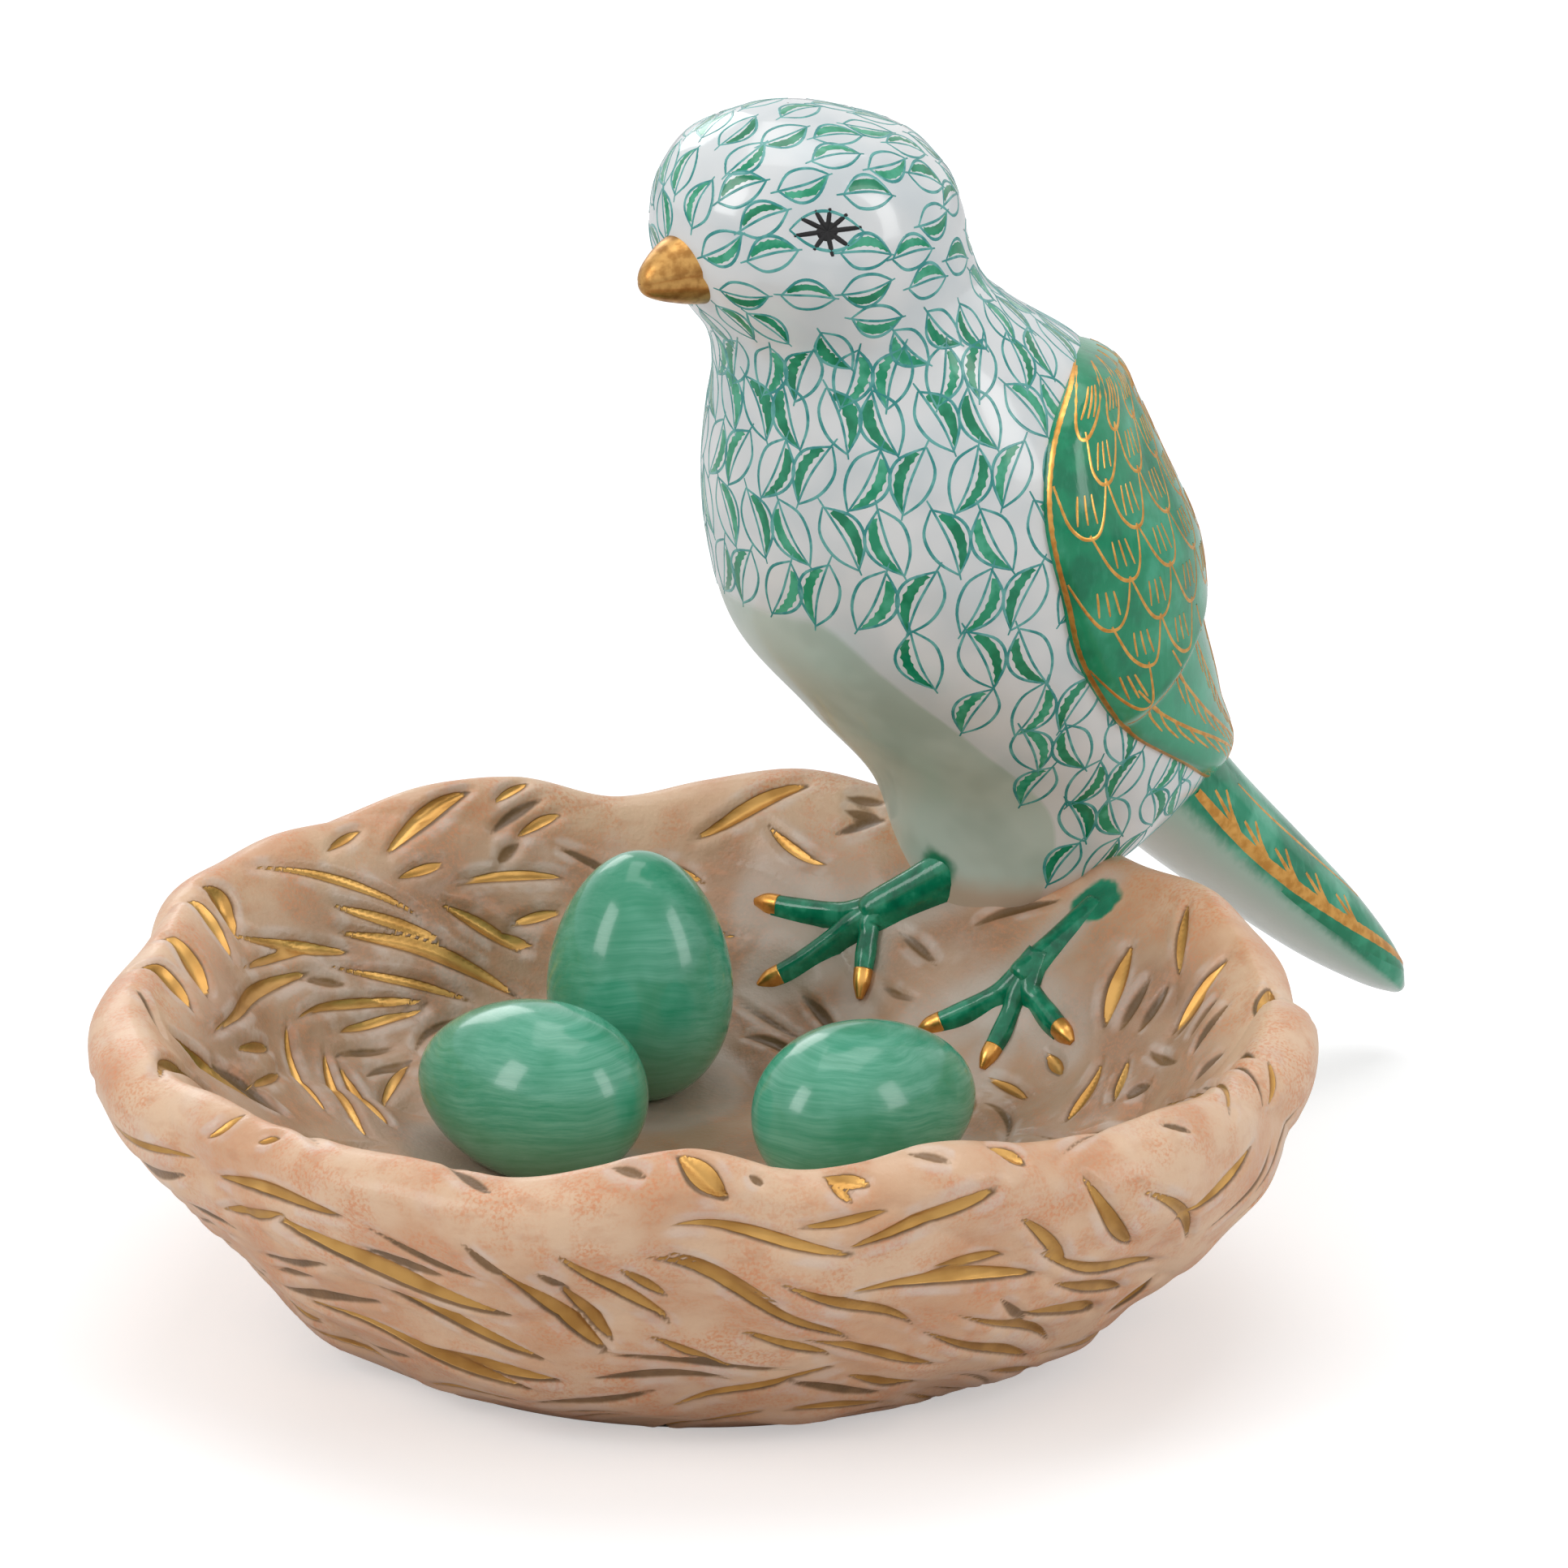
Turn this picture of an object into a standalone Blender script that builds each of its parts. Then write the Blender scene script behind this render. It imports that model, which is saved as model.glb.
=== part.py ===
"""Porcelain bird perched on the rim of a nest with three eggs.

The figurine is fired as one piece: the parts below are modelled one by one, as the potter casts and
lutes them, and then joined into a single solid. Units are metres, +Z is up and the foot stands on z = 0.
"""

import math
import random

import bmesh
import bpy
from mathutils import Matrix, Vector
from mathutils.geometry import delaunay_2d_cdt

MM = 0.001
NODE = "bird_in_nest"

# Nest: a thick-walled bowl, pressed and carved by hand.
FOOT_RADIUS = 26.8 * MM
RIM_RADIUS = 45.0 * MM
LIP_INSET = 3.3 * MM
WALL = 3.6 * MM
FLOOR_HEIGHT = 8.8 * MM
FLOOR_RADIUS = 17.0 * MM
FOOT_RING_WIDTH = 4.2 * MM
RECESS_DEPTH = 2.4 * MM
RIM_HEIGHT = 26.0 * MM

# How far the lip's crest stands above or below the rim height, every ten degrees round the nest.
RIM_LIFTS = [
    lift * MM
    for lift in (
        -1.8, -0.9, 0.1, 0.2, -0.2, 0.4, 1.2, 2.2, 2.7, 1.0, 0.5, 2.6,
        3.4, 2.5, 1.4, 1.2, 1.0, 0.1, -0.4, -0.8, -1.3, -1.7, -1.9, -1.7,
        -1.5, -1.6, -0.5, 0.8, -0.5, 0.0, -0.8, -1.1, -0.9, -2.5, -2.9, -2.4,
    )
]
# How far the rim bulges out or is pushed in, also every ten degrees.
RIM_REACHES = [
    reach * MM
    for reach in (
        0.2, 0.0, -0.2, 0.0, 0.0, 0.0, 0.0, 0.0, 0.2, -0.4, -0.3, 0.3,
        0.4, 0.5, 0.7, 0.8, 0.2, -0.8, 0.0, 0.7, 0.8, 0.3, 0.0, 0.0,
        0.2, 0.3, -0.2, -0.4, 0.2, 0.3, 0.0, -0.2, 0.2, 0.3, 0.0, -0.2,
    )
]
# The wall is fuller at one side, where two lobes of clay overlap.
BULGE = 2.2 * MM
BULGE_ANGLE = math.radians(-28.0)
# The inside is built up where the bird sits, and its legs run down that slope.
PERCH_BANK = 4.4 * MM
PERCH_BANK_SPREAD = math.radians(24.0)

# Carved straws: leaf-shaped cuts that cover the wall inside and outside.
STRAW_LENGTH = (7.0 * MM, 14.0 * MM)
STRAW_WIDTH = (1.3 * MM, 2.3 * MM)
# One side of a straw, from its root to its point: share of half the length, share of half the width.
STRAW_SHAPE = ((-1.0, 0.0), (-0.55, 0.75), (0.0, 1.0), (0.5, 0.7), (1.0, 0.0))
STRAW_DEPTH = 0.85 * MM
STRAW_GAP = 0.8 * MM
STRAWS_OUTSIDE = 84
STRAWS_INSIDE = 70
STRAW_SEED = 11

# Eggs, fused to the floor by their glaze.
EGG_LENGTH = 19.2 * MM
EGG_DIAMETER = 13.8 * MM
EGG_SINK = 0.7 * MM
EGG_TAPER = 0.13
EGG_SPOTS = (
    # x and y of the middle, heading of the pointed end in degrees, lying flat or standing, size
    (-5.1 * MM, 20.6 * MM, 0.0, False, 1.04),
    (-13.2 * MM, 4.9 * MM, 145.0, True, 1.0),
    (12.3 * MM, 1.2 * MM, 38.0, True, 0.98),
)

# Bird: it faces 35 degrees off the nest's own X axis and sits over the rim.
PERCH_ANGLE = math.radians(56.6)
PERCH_INSET = 2.9 * MM
HEADING = math.radians(215.0)

# Level slices of the body: height above the rim, reach ahead of the perch, reach behind it, half width.
BODY_SLICES = (
    (-9.0 * MM, 6.4 * MM, -2.6 * MM, 3.6 * MM),
    (-4.5 * MM, 7.6 * MM, 4.2 * MM, 7.6 * MM),
    (0.5 * MM, 8.4 * MM, 12.6 * MM, 10.6 * MM),
    (4.5 * MM, 9.8 * MM, 17.4 * MM, 12.6 * MM),
    (11.5 * MM, 16.0 * MM, 16.0 * MM, 15.0 * MM),
    (18.5 * MM, 22.2 * MM, 13.8 * MM, 16.6 * MM),
    (25.5 * MM, 24.6 * MM, 12.3 * MM, 17.2 * MM),
    (32.0 * MM, 25.2 * MM, 9.0 * MM, 16.4 * MM),
    (36.5 * MM, 25.0 * MM, 6.8 * MM, 15.2 * MM),
    (40.5 * MM, 24.9 * MM, 4.6 * MM, 13.4 * MM),
    (43.5 * MM, 25.8 * MM, -0.1 * MM, 11.9 * MM),
    (46.5 * MM, 28.3 * MM, -4.2 * MM, 11.4 * MM),
    (49.8 * MM, 30.5 * MM, -6.1 * MM, 11.7 * MM),
    (53.0 * MM, 30.9 * MM, -6.8 * MM, 11.5 * MM),
    (56.6 * MM, 30.0 * MM, -8.6 * MM, 10.2 * MM),
    (59.4 * MM, 27.6 * MM, -12.2 * MM, 7.4 * MM),
    (60.9 * MM, 24.3 * MM, -16.8 * MM, 3.6 * MM),
)
CROWN_RISE = 0.5 * MM

# Beak: reach ahead of the perch, height above the rim, half width and half depth along it.
BEAK_SLICES = (
    (25.0 * MM, 50.2 * MM, 3.6 * MM, 3.4 * MM),
    (29.2 * MM, 50.1 * MM, 3.1 * MM, 3.0 * MM),
    (31.4 * MM, 49.9 * MM, 2.4 * MM, 2.4 * MM),
    (33.0 * MM, 49.6 * MM, 1.5 * MM, 1.6 * MM),
    (33.8 * MM, 49.4 * MM, 0.8 * MM, 0.9 * MM),
)

# Tail: reach ahead of the perch, height above the rim, half width, rise of its back, fall of its keel.
TAIL_SLICES = (
    (-6.0 * MM, 9.0 * MM, 8.2 * MM, 6.4 * MM, 6.0 * MM),
    (-13.0 * MM, 3.4 * MM, 7.6 * MM, 5.6 * MM, 5.2 * MM),
    (-19.5 * MM, -2.6 * MM, 6.8 * MM, 4.9 * MM, 4.6 * MM),
    (-26.0 * MM, -8.5 * MM, 5.9 * MM, 4.4 * MM, 3.8 * MM),
    (-32.2 * MM, -14.0 * MM, 4.9 * MM, 3.7 * MM, 2.9 * MM),
    (-37.2 * MM, -18.3 * MM, 3.4 * MM, 2.4 * MM, 1.7 * MM),
    (-39.6 * MM, -20.4 * MM, 1.5 * MM, 0.9 * MM, 0.7 * MM),
)

# Wings: folded pads on the body. Height above the rim, then the front and rear edge as angles round
# the body, 0 at the breast and 90 degrees at the side.
WING_EDGES = (
    (41.0 * MM, 136.0, 157.0),
    (39.5 * MM, 113.0, 164.0),
    (36.0 * MM, 96.0, 167.0),
    (30.0 * MM, 86.5, 169.0),
    (23.0 * MM, 85.5, 170.0),
    (17.0 * MM, 87.5, 170.0),
    (12.5 * MM, 91.0, 169.0),
    (9.0 * MM, 102.0, 168.0),
    (6.0 * MM, 117.0, 166.0),
    (4.0 * MM, 134.0, 162.0),
)
WING_THICKNESS = 1.3 * MM
WING_ROOT = 1.6 * MM
COVERT_THICKNESS = 0.7 * MM
# Height at which the coverts end, at the wing's front edge, and how much higher they end at its rear.
COVERT_END = 12.5 * MM
COVERT_CLIMB = 11.0 * MM

# Legs and toes, on the nest's inside. Each point is its reach ahead of the perch and to the bird's left.
LEG_THICKNESS = 2.8 * MM
TOE_THICKNESS = 2.0 * MM
CLAW_LENGTH = 2.4 * MM
CLAW_THICKNESS = 0.6 * MM
# Height of the middle line of a leg, a toe and a claw above the slope.
LEG_RISE = 1.1 * MM
LEG_OVERRUN = 0.15
TOE_RISE = 0.4 * MM
CLAW_RISE = 0.1 * MM
# How much deeper than round a leg or a toe reaches into the clay under it.
LEG_ROOT = 2.2
TOE_ROOT = 2.4
# Straws keep this far from the middle line of a leg or a toe.
FOOT_MARGIN = 2.2 * MM
FEET = (
    # top of the leg with its height above the rim, where the toes part, and the three claws' tips
    ((5.8 * MM, 2.7 * MM, 0.5 * MM), (11.4 * MM, -1.6 * MM),
     ((16.2 * MM, -10.7 * MM), (18.5 * MM, -7.0 * MM), (14.5 * MM, 1.1 * MM))),
    ((-0.4 * MM, 12.4 * MM, -2.4 * MM), (6.9 * MM, 12.4 * MM),
     ((13.3 * MM, 7.2 * MM), (11.9 * MM, 13.8 * MM), (7.4 * MM, 19.4 * MM))),
)


def build_note(text):
    print("bird_in_nest:", text)


def clear_scene():
    for obj in list(bpy.data.objects):
        bpy.data.objects.remove(obj)


def smooth_step(low, high, value):
    share = min(1.0, max(0.0, (value - low) / (high - low)))
    return share * share * (3.0 - 2.0 * share)


def along(points, place):
    """The point at a place along a list of points, on a smooth curve through them. A place of 2.5 is
    half-way between the third point and the fourth."""
    last = len(points) - 1
    start = min(last - 1, max(0, int(place)))
    t = place - start
    before = points[max(0, start - 1)]
    after = points[min(last, start + 2)]
    found = []
    for a, b, c, d in zip(before, points[start], points[start + 1], after):
        found.append(b + 0.5 * t * (c - a + t * (2 * a - 5 * b + 4 * c - d + t * (3 * (b - c) + d - a))))
    return found


def glaze():
    material = bpy.data.materials.new("porcelain")
    material.use_nodes = True
    shader = material.node_tree.nodes["Principled BSDF"]
    shader.inputs["Base Color"].default_value = (0.62, 0.4, 0.26, 1.0)
    shader.inputs["Roughness"].default_value = 0.2
    shader.inputs["Metallic"].default_value = 0.0
    return material


def object_of(name, mesh_builder):
    mesh = bpy.data.meshes.new(name)
    made = bmesh.new()
    mesh_builder(made)
    bmesh.ops.recalc_face_normals(made, faces=made.faces)
    made.to_mesh(mesh)
    made.free()
    mesh.shade_smooth()
    mesh.set_sharp_from_angle(angle=math.radians(35.0))
    obj = bpy.data.objects.new(name, mesh)
    bpy.context.scene.collection.objects.link(obj)
    return obj


def loft(made, rings):
    """Joins closed rings of points with faces and closes both ends."""
    loops = [[made.verts.new(point) for point in ring] for ring in rings]
    count = len(loops[0])
    for lower, upper in zip(loops, loops[1:]):
        for i in range(count):
            j = (i + 1) % count
            made.faces.new((lower[i], lower[j], upper[j], upper[i]))
    made.faces.new(list(reversed(loops[0])))
    made.faces.new(loops[-1])


# Nest

def round_rim(offsets, angle):
    """Smooth value, at an angle round the nest in radians, of a list with one entry every ten degrees."""
    place = math.degrees(angle) % 360.0 / 10.0
    start = int(place)
    near = [(offsets[(start + step) % 36],) for step in (-1, 0, 1, 2)]
    return along(near, 1.0 + place - start)[0]


def hump(angle, middle, spread):
    """1 at the middle angle, falling smoothly to 0 away from it."""
    off = (angle - middle + math.pi) % (2 * math.pi) - math.pi
    return math.exp(-((off / spread) ** 2))


def nest_section(angle):
    """Radius and height of points along the section at one angle, from the foot up the outside, over
    the lip and down the inside."""
    reach = round_rim(RIM_REACHES, angle)
    full = BULGE * hump(angle, BULGE_ANGLE, math.radians(50.0))
    bank = PERCH_BANK * hump(angle, PERCH_ANGLE, PERCH_BANK_SPREAD)
    rim = RIM_RADIUS + reach
    lip = rim - LIP_INSET
    top = RIM_HEIGHT + round_rim(RIM_LIFTS, angle)
    drop = top - FLOOR_HEIGHT
    inner = lip - WALL
    spread = rim - FOOT_RADIUS
    slope = inner - FLOOR_RADIUS
    return (
        (FOOT_RADIUS, 0.0),
        (FOOT_RADIUS + 0.25 * spread + 0.3 * full, 0.11 * top),
        (FOOT_RADIUS + 0.44 * spread + 0.7 * full, 0.27 * top),
        (FOOT_RADIUS + 0.64 * spread + full, 0.44 * top),
        (FOOT_RADIUS + 0.83 * spread + 0.8 * full, 0.61 * top),
        (rim - 0.6 * MM + 0.4 * full, 0.78 * top),
        (rim, 0.93 * top),
        (lip + 0.6 * MM, top),
        (lip - 1.8 * MM - 0.6 * bank, top - 2.2 * MM),
        (inner - 0.12 * slope - bank, FLOOR_HEIGHT + 0.56 * drop),
        (inner - 0.28 * slope - bank, FLOOR_HEIGHT + 0.32 * drop),
        (inner - 0.50 * slope - 0.8 * bank, FLOOR_HEIGHT + 0.155 * drop),
        (inner - 0.75 * slope - 0.4 * bank, FLOOR_HEIGHT + 0.055 * drop),
        (FLOOR_RADIUS, FLOOR_HEIGHT + 0.3 * MM),
        (0.6 * FLOOR_RADIUS, FLOOR_HEIGHT),
    )


SECTION_LAST = 14
SECTION_STEP = 5.2 * MM
LIP_PLACE = 7.0


def nest_point(angle, place):
    radius, height = along(nest_section(angle), place)
    return Vector((radius * math.cos(angle), radius * math.sin(angle), height))


def nest_normal(angle, place):
    """Unit vector out of the glaze at a point of the nest."""
    step = 0.05
    low, high = max(0.0, place - step), min(SECTION_LAST, place + step)
    round_the_nest = nest_point(angle + 0.01, place) - nest_point(angle - 0.01, place)
    up_the_section = nest_point(angle, high) - nest_point(angle, low)
    return round_the_nest.cross(up_the_section).normalized()


def inner_wall(x, y):
    """Point of the nest's inside above a place on the table."""
    angle = math.atan2(y, x)
    radius = math.hypot(x, y)
    low, high = LIP_PLACE, float(SECTION_LAST)
    for _ in range(30):
        middle = 0.5 * (low + high)
        if along(nest_section(angle), middle)[0] > radius:
            low = middle
        else:
            high = middle
    return Vector((x, y, along(nest_section(angle), low)[1]))


class Straw:
    """One leaf-shaped cut. Its outline and middle line are in the wall's flat pattern: distance round
    the nest at the rim's radius, and distance along the section."""

    def __init__(self, angle, place, heading, length, width, bend):
        radius = along(nest_section(angle), place)[0]
        self.centre = Vector((angle * RIM_RADIUS, place * SECTION_STEP))
        self.stretch = RIM_RADIUS / radius
        self.outline = []
        self.middle = []
        for along_it, half in STRAW_SHAPE + tuple((a, -h) for a, h in STRAW_SHAPE[-2:0:-1]):
            self.outline.append(self.flat(heading, along_it * length / 2, half * width / 2, length, bend))
        for along_it in (-0.5, 0.0, 0.5):
            self.middle.append(self.flat(heading, along_it * length / 2, 0.0, length, bend))

    def flat(self, heading, ahead, aside, length, bend):
        aside += bend * (1.0 - (2.0 * ahead / length) ** 2)
        x = ahead * math.cos(heading) - aside * math.sin(heading)
        y = ahead * math.sin(heading) + aside * math.cos(heading)
        return self.centre + Vector((x * self.stretch, y))


def straw_heading(angle, place):
    """The straws lie round the nest in tufts that lean up or down by turns."""
    lean = 28.0 * math.sin(3 * angle + 0.8 * place) + 16.0 * math.sin(7 * angle - 0.5 * place)
    return math.radians(lean)


def on_a_foot_or_egg(point):
    """Whether a point of the flat pattern lies under a leg, a toe or an egg."""
    spot = nest_point(point.x / RIM_RADIUS, min(float(SECTION_LAST), max(0.0, point.y / SECTION_STEP))).xy
    for x, y, _, lying, size in EGG_SPOTS:
        reach = EGG_LENGTH if lying else EGG_DIAMETER
        if (spot - Vector((x, y))).length < 0.5 * size * reach:
            return True
    for top, parting, tips in FEET:
        for end in (top, *tips):
            start = foot_spot(parting)
            line = foot_spot(end) - start
            share = max(0.0, min(1.0, (spot - start).dot(line) / line.length_squared))
            if (start + share * line - spot).length < FOOT_MARGIN:
                return True
    return False


def straws(count, low, high, chance):
    """Cuts spread over one side of the wall, each clear of the others."""
    limit = 2 * math.pi * RIM_RADIUS
    found = []
    for _ in range(count * 40):
        if len(found) == count:
            break
        angle = chance.uniform(0.0, 2 * math.pi)
        place = chance.uniform(low, high)
        length = chance.uniform(*STRAW_LENGTH)
        width = chance.uniform(*STRAW_WIDTH) * (0.6 + 0.4 * length / STRAW_LENGTH[1])
        heading = straw_heading(angle, place) + math.radians(chance.uniform(-14.0, 14.0))
        straw = Straw(angle, place, heading, length, width, chance.uniform(-0.8, 0.8) * MM)
        edge = [p.x for p in straw.outline]
        heights = [p.y / SECTION_STEP for p in straw.outline]
        if min(edge) < STRAW_GAP or max(edge) > limit - STRAW_GAP:
            continue
        if min(heights) < low - 0.3 or max(heights) > high + 0.3:
            continue
        if low > LIP_PLACE and any(on_a_foot_or_egg(p) for p in straw.outline + straw.middle):
            continue
        if all(clear_of(straw, other) for other in found):
            found.append(straw)
    return found


def clear_of(straw, other):
    ours = straw.outline + straw.middle
    theirs = other.outline + other.middle
    return min((a - b).length for a in ours for b in theirs) > STRAW_GAP and not crossing(straw, other)


def crossing(straw, other):
    """Whether the outlines of two straws cut each other."""
    def side(p, q, r):
        return (q.x - p.x) * (r.y - p.y) - (q.y - p.y) * (r.x - p.x)

    for i, a in enumerate(straw.outline):
        b = straw.outline[i - 1]
        for j, c in enumerate(other.outline):
            d = other.outline[j - 1]
            if side(a, b, c) * side(a, b, d) < 0 and side(c, d, a) * side(c, d, b) < 0:
                return True
    return False


def inside(outline, point, margin):
    """Whether a point is in a straw's outline or within a margin of it."""
    hit = False
    for i, a in enumerate(outline):
        b = outline[i - 1]
        if (a.y > point.y) != (b.y > point.y):
            if point.x < (b.x - a.x) * (point.y - a.y) / (b.y - a.y) + a.x:
                hit = not hit
        edge = b - a
        share = max(0.0, min(1.0, (point - a).dot(edge) / edge.length_squared))
        if (a + share * edge - point).length < margin:
            return True
    return hit


NEST_COLUMNS = 56


def nest(made):
    """The wall is triangulated flat, with each straw's outline as fixed edges, and wrapped round."""
    chance = random.Random(STRAW_SEED)
    cuts = straws(STRAWS_OUTSIDE, 0.5, 6.2, chance) + straws(STRAWS_INSIDE, 7.4, 13.3, chance)
    width = 2 * math.pi * RIM_RADIUS
    flat, edges, sunk = [], [], set()
    for row in range(SECTION_LAST + 1):
        for column in range(NEST_COLUMNS + 1):
            point = Vector((width * column / NEST_COLUMNS, row * SECTION_STEP))
            at_edge = row in (0, SECTION_LAST) or column in (0, NEST_COLUMNS)
            if at_edge or not any(inside(cut.outline, point, 0.9 * MM) for cut in cuts):
                flat.append(point)
    for cut in cuts:
        first = len(flat)
        flat += cut.outline
        count = len(cut.outline)
        edges += [(first + i, first + (i + 1) % count) for i in range(count)]
        sunk.update(range(len(flat), len(flat) + len(cut.middle)))
        flat += cut.middle
    points, _, faces, origins, _, _ = delaunay_2d_cdt(flat, edges, [], 0, 1e-7)
    verts = []
    for point, sources in zip(points, origins):
        angle = point.x / RIM_RADIUS
        place = point.y / SECTION_STEP
        place = min(float(SECTION_LAST), max(0.0, place))
        solid = nest_point(angle, place)
        if sunk.intersection(sources):
            solid = solid - STRAW_DEPTH * nest_normal(angle, place)
        verts.append(made.verts.new(solid))
    for face in faces:
        made.faces.new([verts[i] for i in face])
    bmesh.ops.remove_doubles(made, verts=made.verts, dist=1e-7)
    close_floor(made)
    close_foot(made)
    build_note(f"{len(cuts)} carved straws, {len(made.faces)} faces in the nest")


def border(made, upper):
    """The open edge loop at the floor (upper) or at the foot, in order round the nest."""
    rim = [v for v in made.verts if v.is_boundary and (v.co.z > 0.5 * FLOOR_HEIGHT) == upper]
    return sorted(rim, key=lambda v: math.atan2(v.co.y, v.co.x))


def close_floor(made):
    ring = border(made, True)
    middle = made.verts.new((0.0, 0.0, FLOOR_HEIGHT))
    for a, b in zip(ring, ring[1:] + ring[:1]):
        made.faces.new((a, b, middle))


def close_foot(made):
    """The foot is a flat ring round a shallow recess."""
    rings = [border(made, False)]
    inner = FOOT_RADIUS - FOOT_RING_WIDTH
    for radius, height in ((inner, 0.0), (inner - 0.8 * MM, RECESS_DEPTH)):
        ring = []
        for vert in rings[0]:
            angle = math.atan2(vert.co.y, vert.co.x)
            ring.append(made.verts.new((radius * math.cos(angle), radius * math.sin(angle), height)))
        rings.append(ring)
    for outer, inside_ring in zip(rings, rings[1:]):
        for i in range(len(outer)):
            j = (i + 1) % len(outer)
            made.faces.new((outer[j], outer[i], inside_ring[i], inside_ring[j]))
    made.faces.new(rings[-1])


# Eggs

def egg(made, x, y, heading, lying, size):
    """An egg with its fat end down, or on its side with its pointed end at the heading."""
    half, radius = size * EGG_LENGTH / 2, size * EGG_DIAMETER / 2
    rings = []
    rows, columns = 12, 20
    for row in range(1, rows):
        turn = math.pi * row / rows
        height = -half * math.cos(turn)
        girth = radius * math.sin(turn) * (1.0 - EGG_TAPER * height / half)
        rings.append([(girth * math.cos(a), girth * math.sin(a), height) for a in steps(columns)])
    floor = inner_wall(x, y).z
    lift = (radius if lying else half) - EGG_SINK
    for i, ring in enumerate(rings):
        rings[i] = [Vector(p) for p in ring]
        for point in rings[i]:
            if lying:
                point.xyz = (point.z, point.y, -point.x)
            point.xy = turned(point.x, point.y, math.radians(heading))
            point += Vector((x, y, floor + lift))
    loft(made, rings)
    for face in [f for f in made.faces if len(f.verts) > 4]:
        bmesh.ops.poke(made, faces=[face])


def steps(count):
    return [2 * math.pi * i / count for i in range(count)]


def turned(x, y, angle):
    return x * math.cos(angle) - y * math.sin(angle), x * math.sin(angle) + y * math.cos(angle)


# Bird

def perch():
    radius = RIM_RADIUS - PERCH_INSET
    return Vector((radius * math.cos(PERCH_ANGLE), radius * math.sin(PERCH_ANGLE), RIM_HEIGHT))


def bird_point(ahead, left, up):
    """A point given in the bird's own directions, from its perch on the rim."""
    x, y = turned(ahead, left, HEADING)
    return perch() + Vector((x, y, up))


def body_slice(up):
    """Front reach, back reach and half width of the body at a height above the rim."""
    heights = [row[0] for row in BODY_SLICES]
    up = min(heights[-1], max(heights[0], up))
    start = max(i for i, height in enumerate(heights[:-1]) if height <= up)
    share = (up - heights[start]) / (heights[start + 1] - heights[start])
    return along([row[1:] for row in BODY_SLICES], start + share)


def body_point(angle, up):
    """Point of the body's skin. The angle is 0 at the breast, 90 degrees on the left."""
    front, back, half_width = body_slice(up)
    middle, reach = 0.5 * (front - back), 0.5 * (front + back)
    return bird_point(middle + reach * math.cos(angle), half_width * math.sin(angle), up)


def body(made):
    rings = []
    for row in range(len(BODY_SLICES) * 2 - 1):
        start, share = divmod(row, 2)
        up = BODY_SLICES[start][0]
        if share:
            up = 0.5 * (up + BODY_SLICES[start + 1][0])
        rings.append([body_point(angle, up) for angle in steps(30)])
    loft(made, rings)
    crown = [f for f in made.faces if len(f.verts) > 4 and f.calc_center_median().z > RIM_HEIGHT]
    for vert in bmesh.ops.poke(made, faces=crown)["verts"]:
        vert.co.z += CROWN_RISE


def beak(made):
    rings = []
    for ahead, up, half_width, half_depth in BEAK_SLICES:
        ring = []
        for angle in steps(12):
            ring.append(bird_point(ahead, half_width * math.cos(angle), up + half_depth * math.sin(angle)))
        rings.append(ring)
    loft(made, rings)


def tail(made):
    """The tail is a long leaf with a low ridge on its back and a keel underneath."""
    first, last = TAIL_SLICES[0], TAIL_SLICES[-1]
    slope = math.atan2(last[1] - first[1], first[0] - last[0])
    rings = []
    for row in range(2 * len(TAIL_SLICES) - 1):
        ahead, up, half_width, rise, fall = along(TAIL_SLICES, 0.5 * row)
        ring = []
        for angle in steps(14):
            height = (rise if math.sin(angle) > 0.0 else fall) * math.sin(angle)
            back = ahead + height * math.sin(slope)
            ring.append(bird_point(back, half_width * math.cos(angle), up + height * math.cos(slope)))
        rings.append(ring)
    loft(made, rings)


def wing_skin(side, angle, up, out):
    """Point at a distance out of the body's skin; the side is 1 on the left, -1 on the right."""
    front, back, half_width = body_slice(up)
    middle, reach = 0.5 * (front - back), 0.5 * (front + back)
    normal = Vector((math.cos(angle) / reach, math.sin(angle) / half_width)).normalized()
    ahead = middle + reach * math.cos(angle) + out * normal.x
    return bird_point(ahead, side * (half_width * math.sin(angle) + out * normal.y), up)


def wing(made, side):
    """A pad from the shoulder to the root of the tail, with the coverts standing above the quills."""
    across = 10
    rings = []
    for row in range(2 * len(WING_EDGES) - 1):
        up, front, rear = along(WING_EDGES, 0.5 * row)
        end_round = math.sqrt(smooth_step(-1.0, 3.0, min(row, 2 * len(WING_EDGES) - 2 - row)))
        outer, inner = [], []
        for step in range(across + 1):
            share = step / across
            angle = math.radians(front + share * (rear - front))
            edge_round = math.sqrt(max(0.0, 1.0 - (2.0 * share - 1.0) ** 6))
            covert = smooth_step(-1.0 * MM, 1.0 * MM, up - COVERT_END - COVERT_CLIMB * share)
            out = (WING_THICKNESS + COVERT_THICKNESS * covert) * edge_round * end_round
            outer.append(wing_skin(side, angle, up, out))
            if 0 < step < across and step % 3 == 0:
                inner.append(wing_skin(side, angle, up, -WING_ROOT))
        rings.append(outer + inner[::-1])
    loft(made, rings)


def tube(made, path, radii, depth=1.0):
    """A round limb along a path, with its own radius at each point. The depth stretches its underside,
    so that a toe is rooted in the clay that it lies on."""
    ahead = (path[-1] - path[0]).normalized()
    aside = ahead.cross(Vector((0.0, 0.0, 1.0))).normalized()
    upright = aside.cross(ahead)
    rings = []
    for i, point in enumerate(path):
        ring = []
        for angle in steps(8):
            rise = math.sin(angle) * (depth if math.sin(angle) < 0.0 else 1.0)
            ring.append(point + radii[i] * (math.cos(angle) * aside + rise * upright))
        rings.append(ring)
    loft(made, rings)


def foot_spot(point):
    """Place on the table of a point of a foot."""
    return bird_point(point[0], point[1], 0.0).xy


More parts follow.
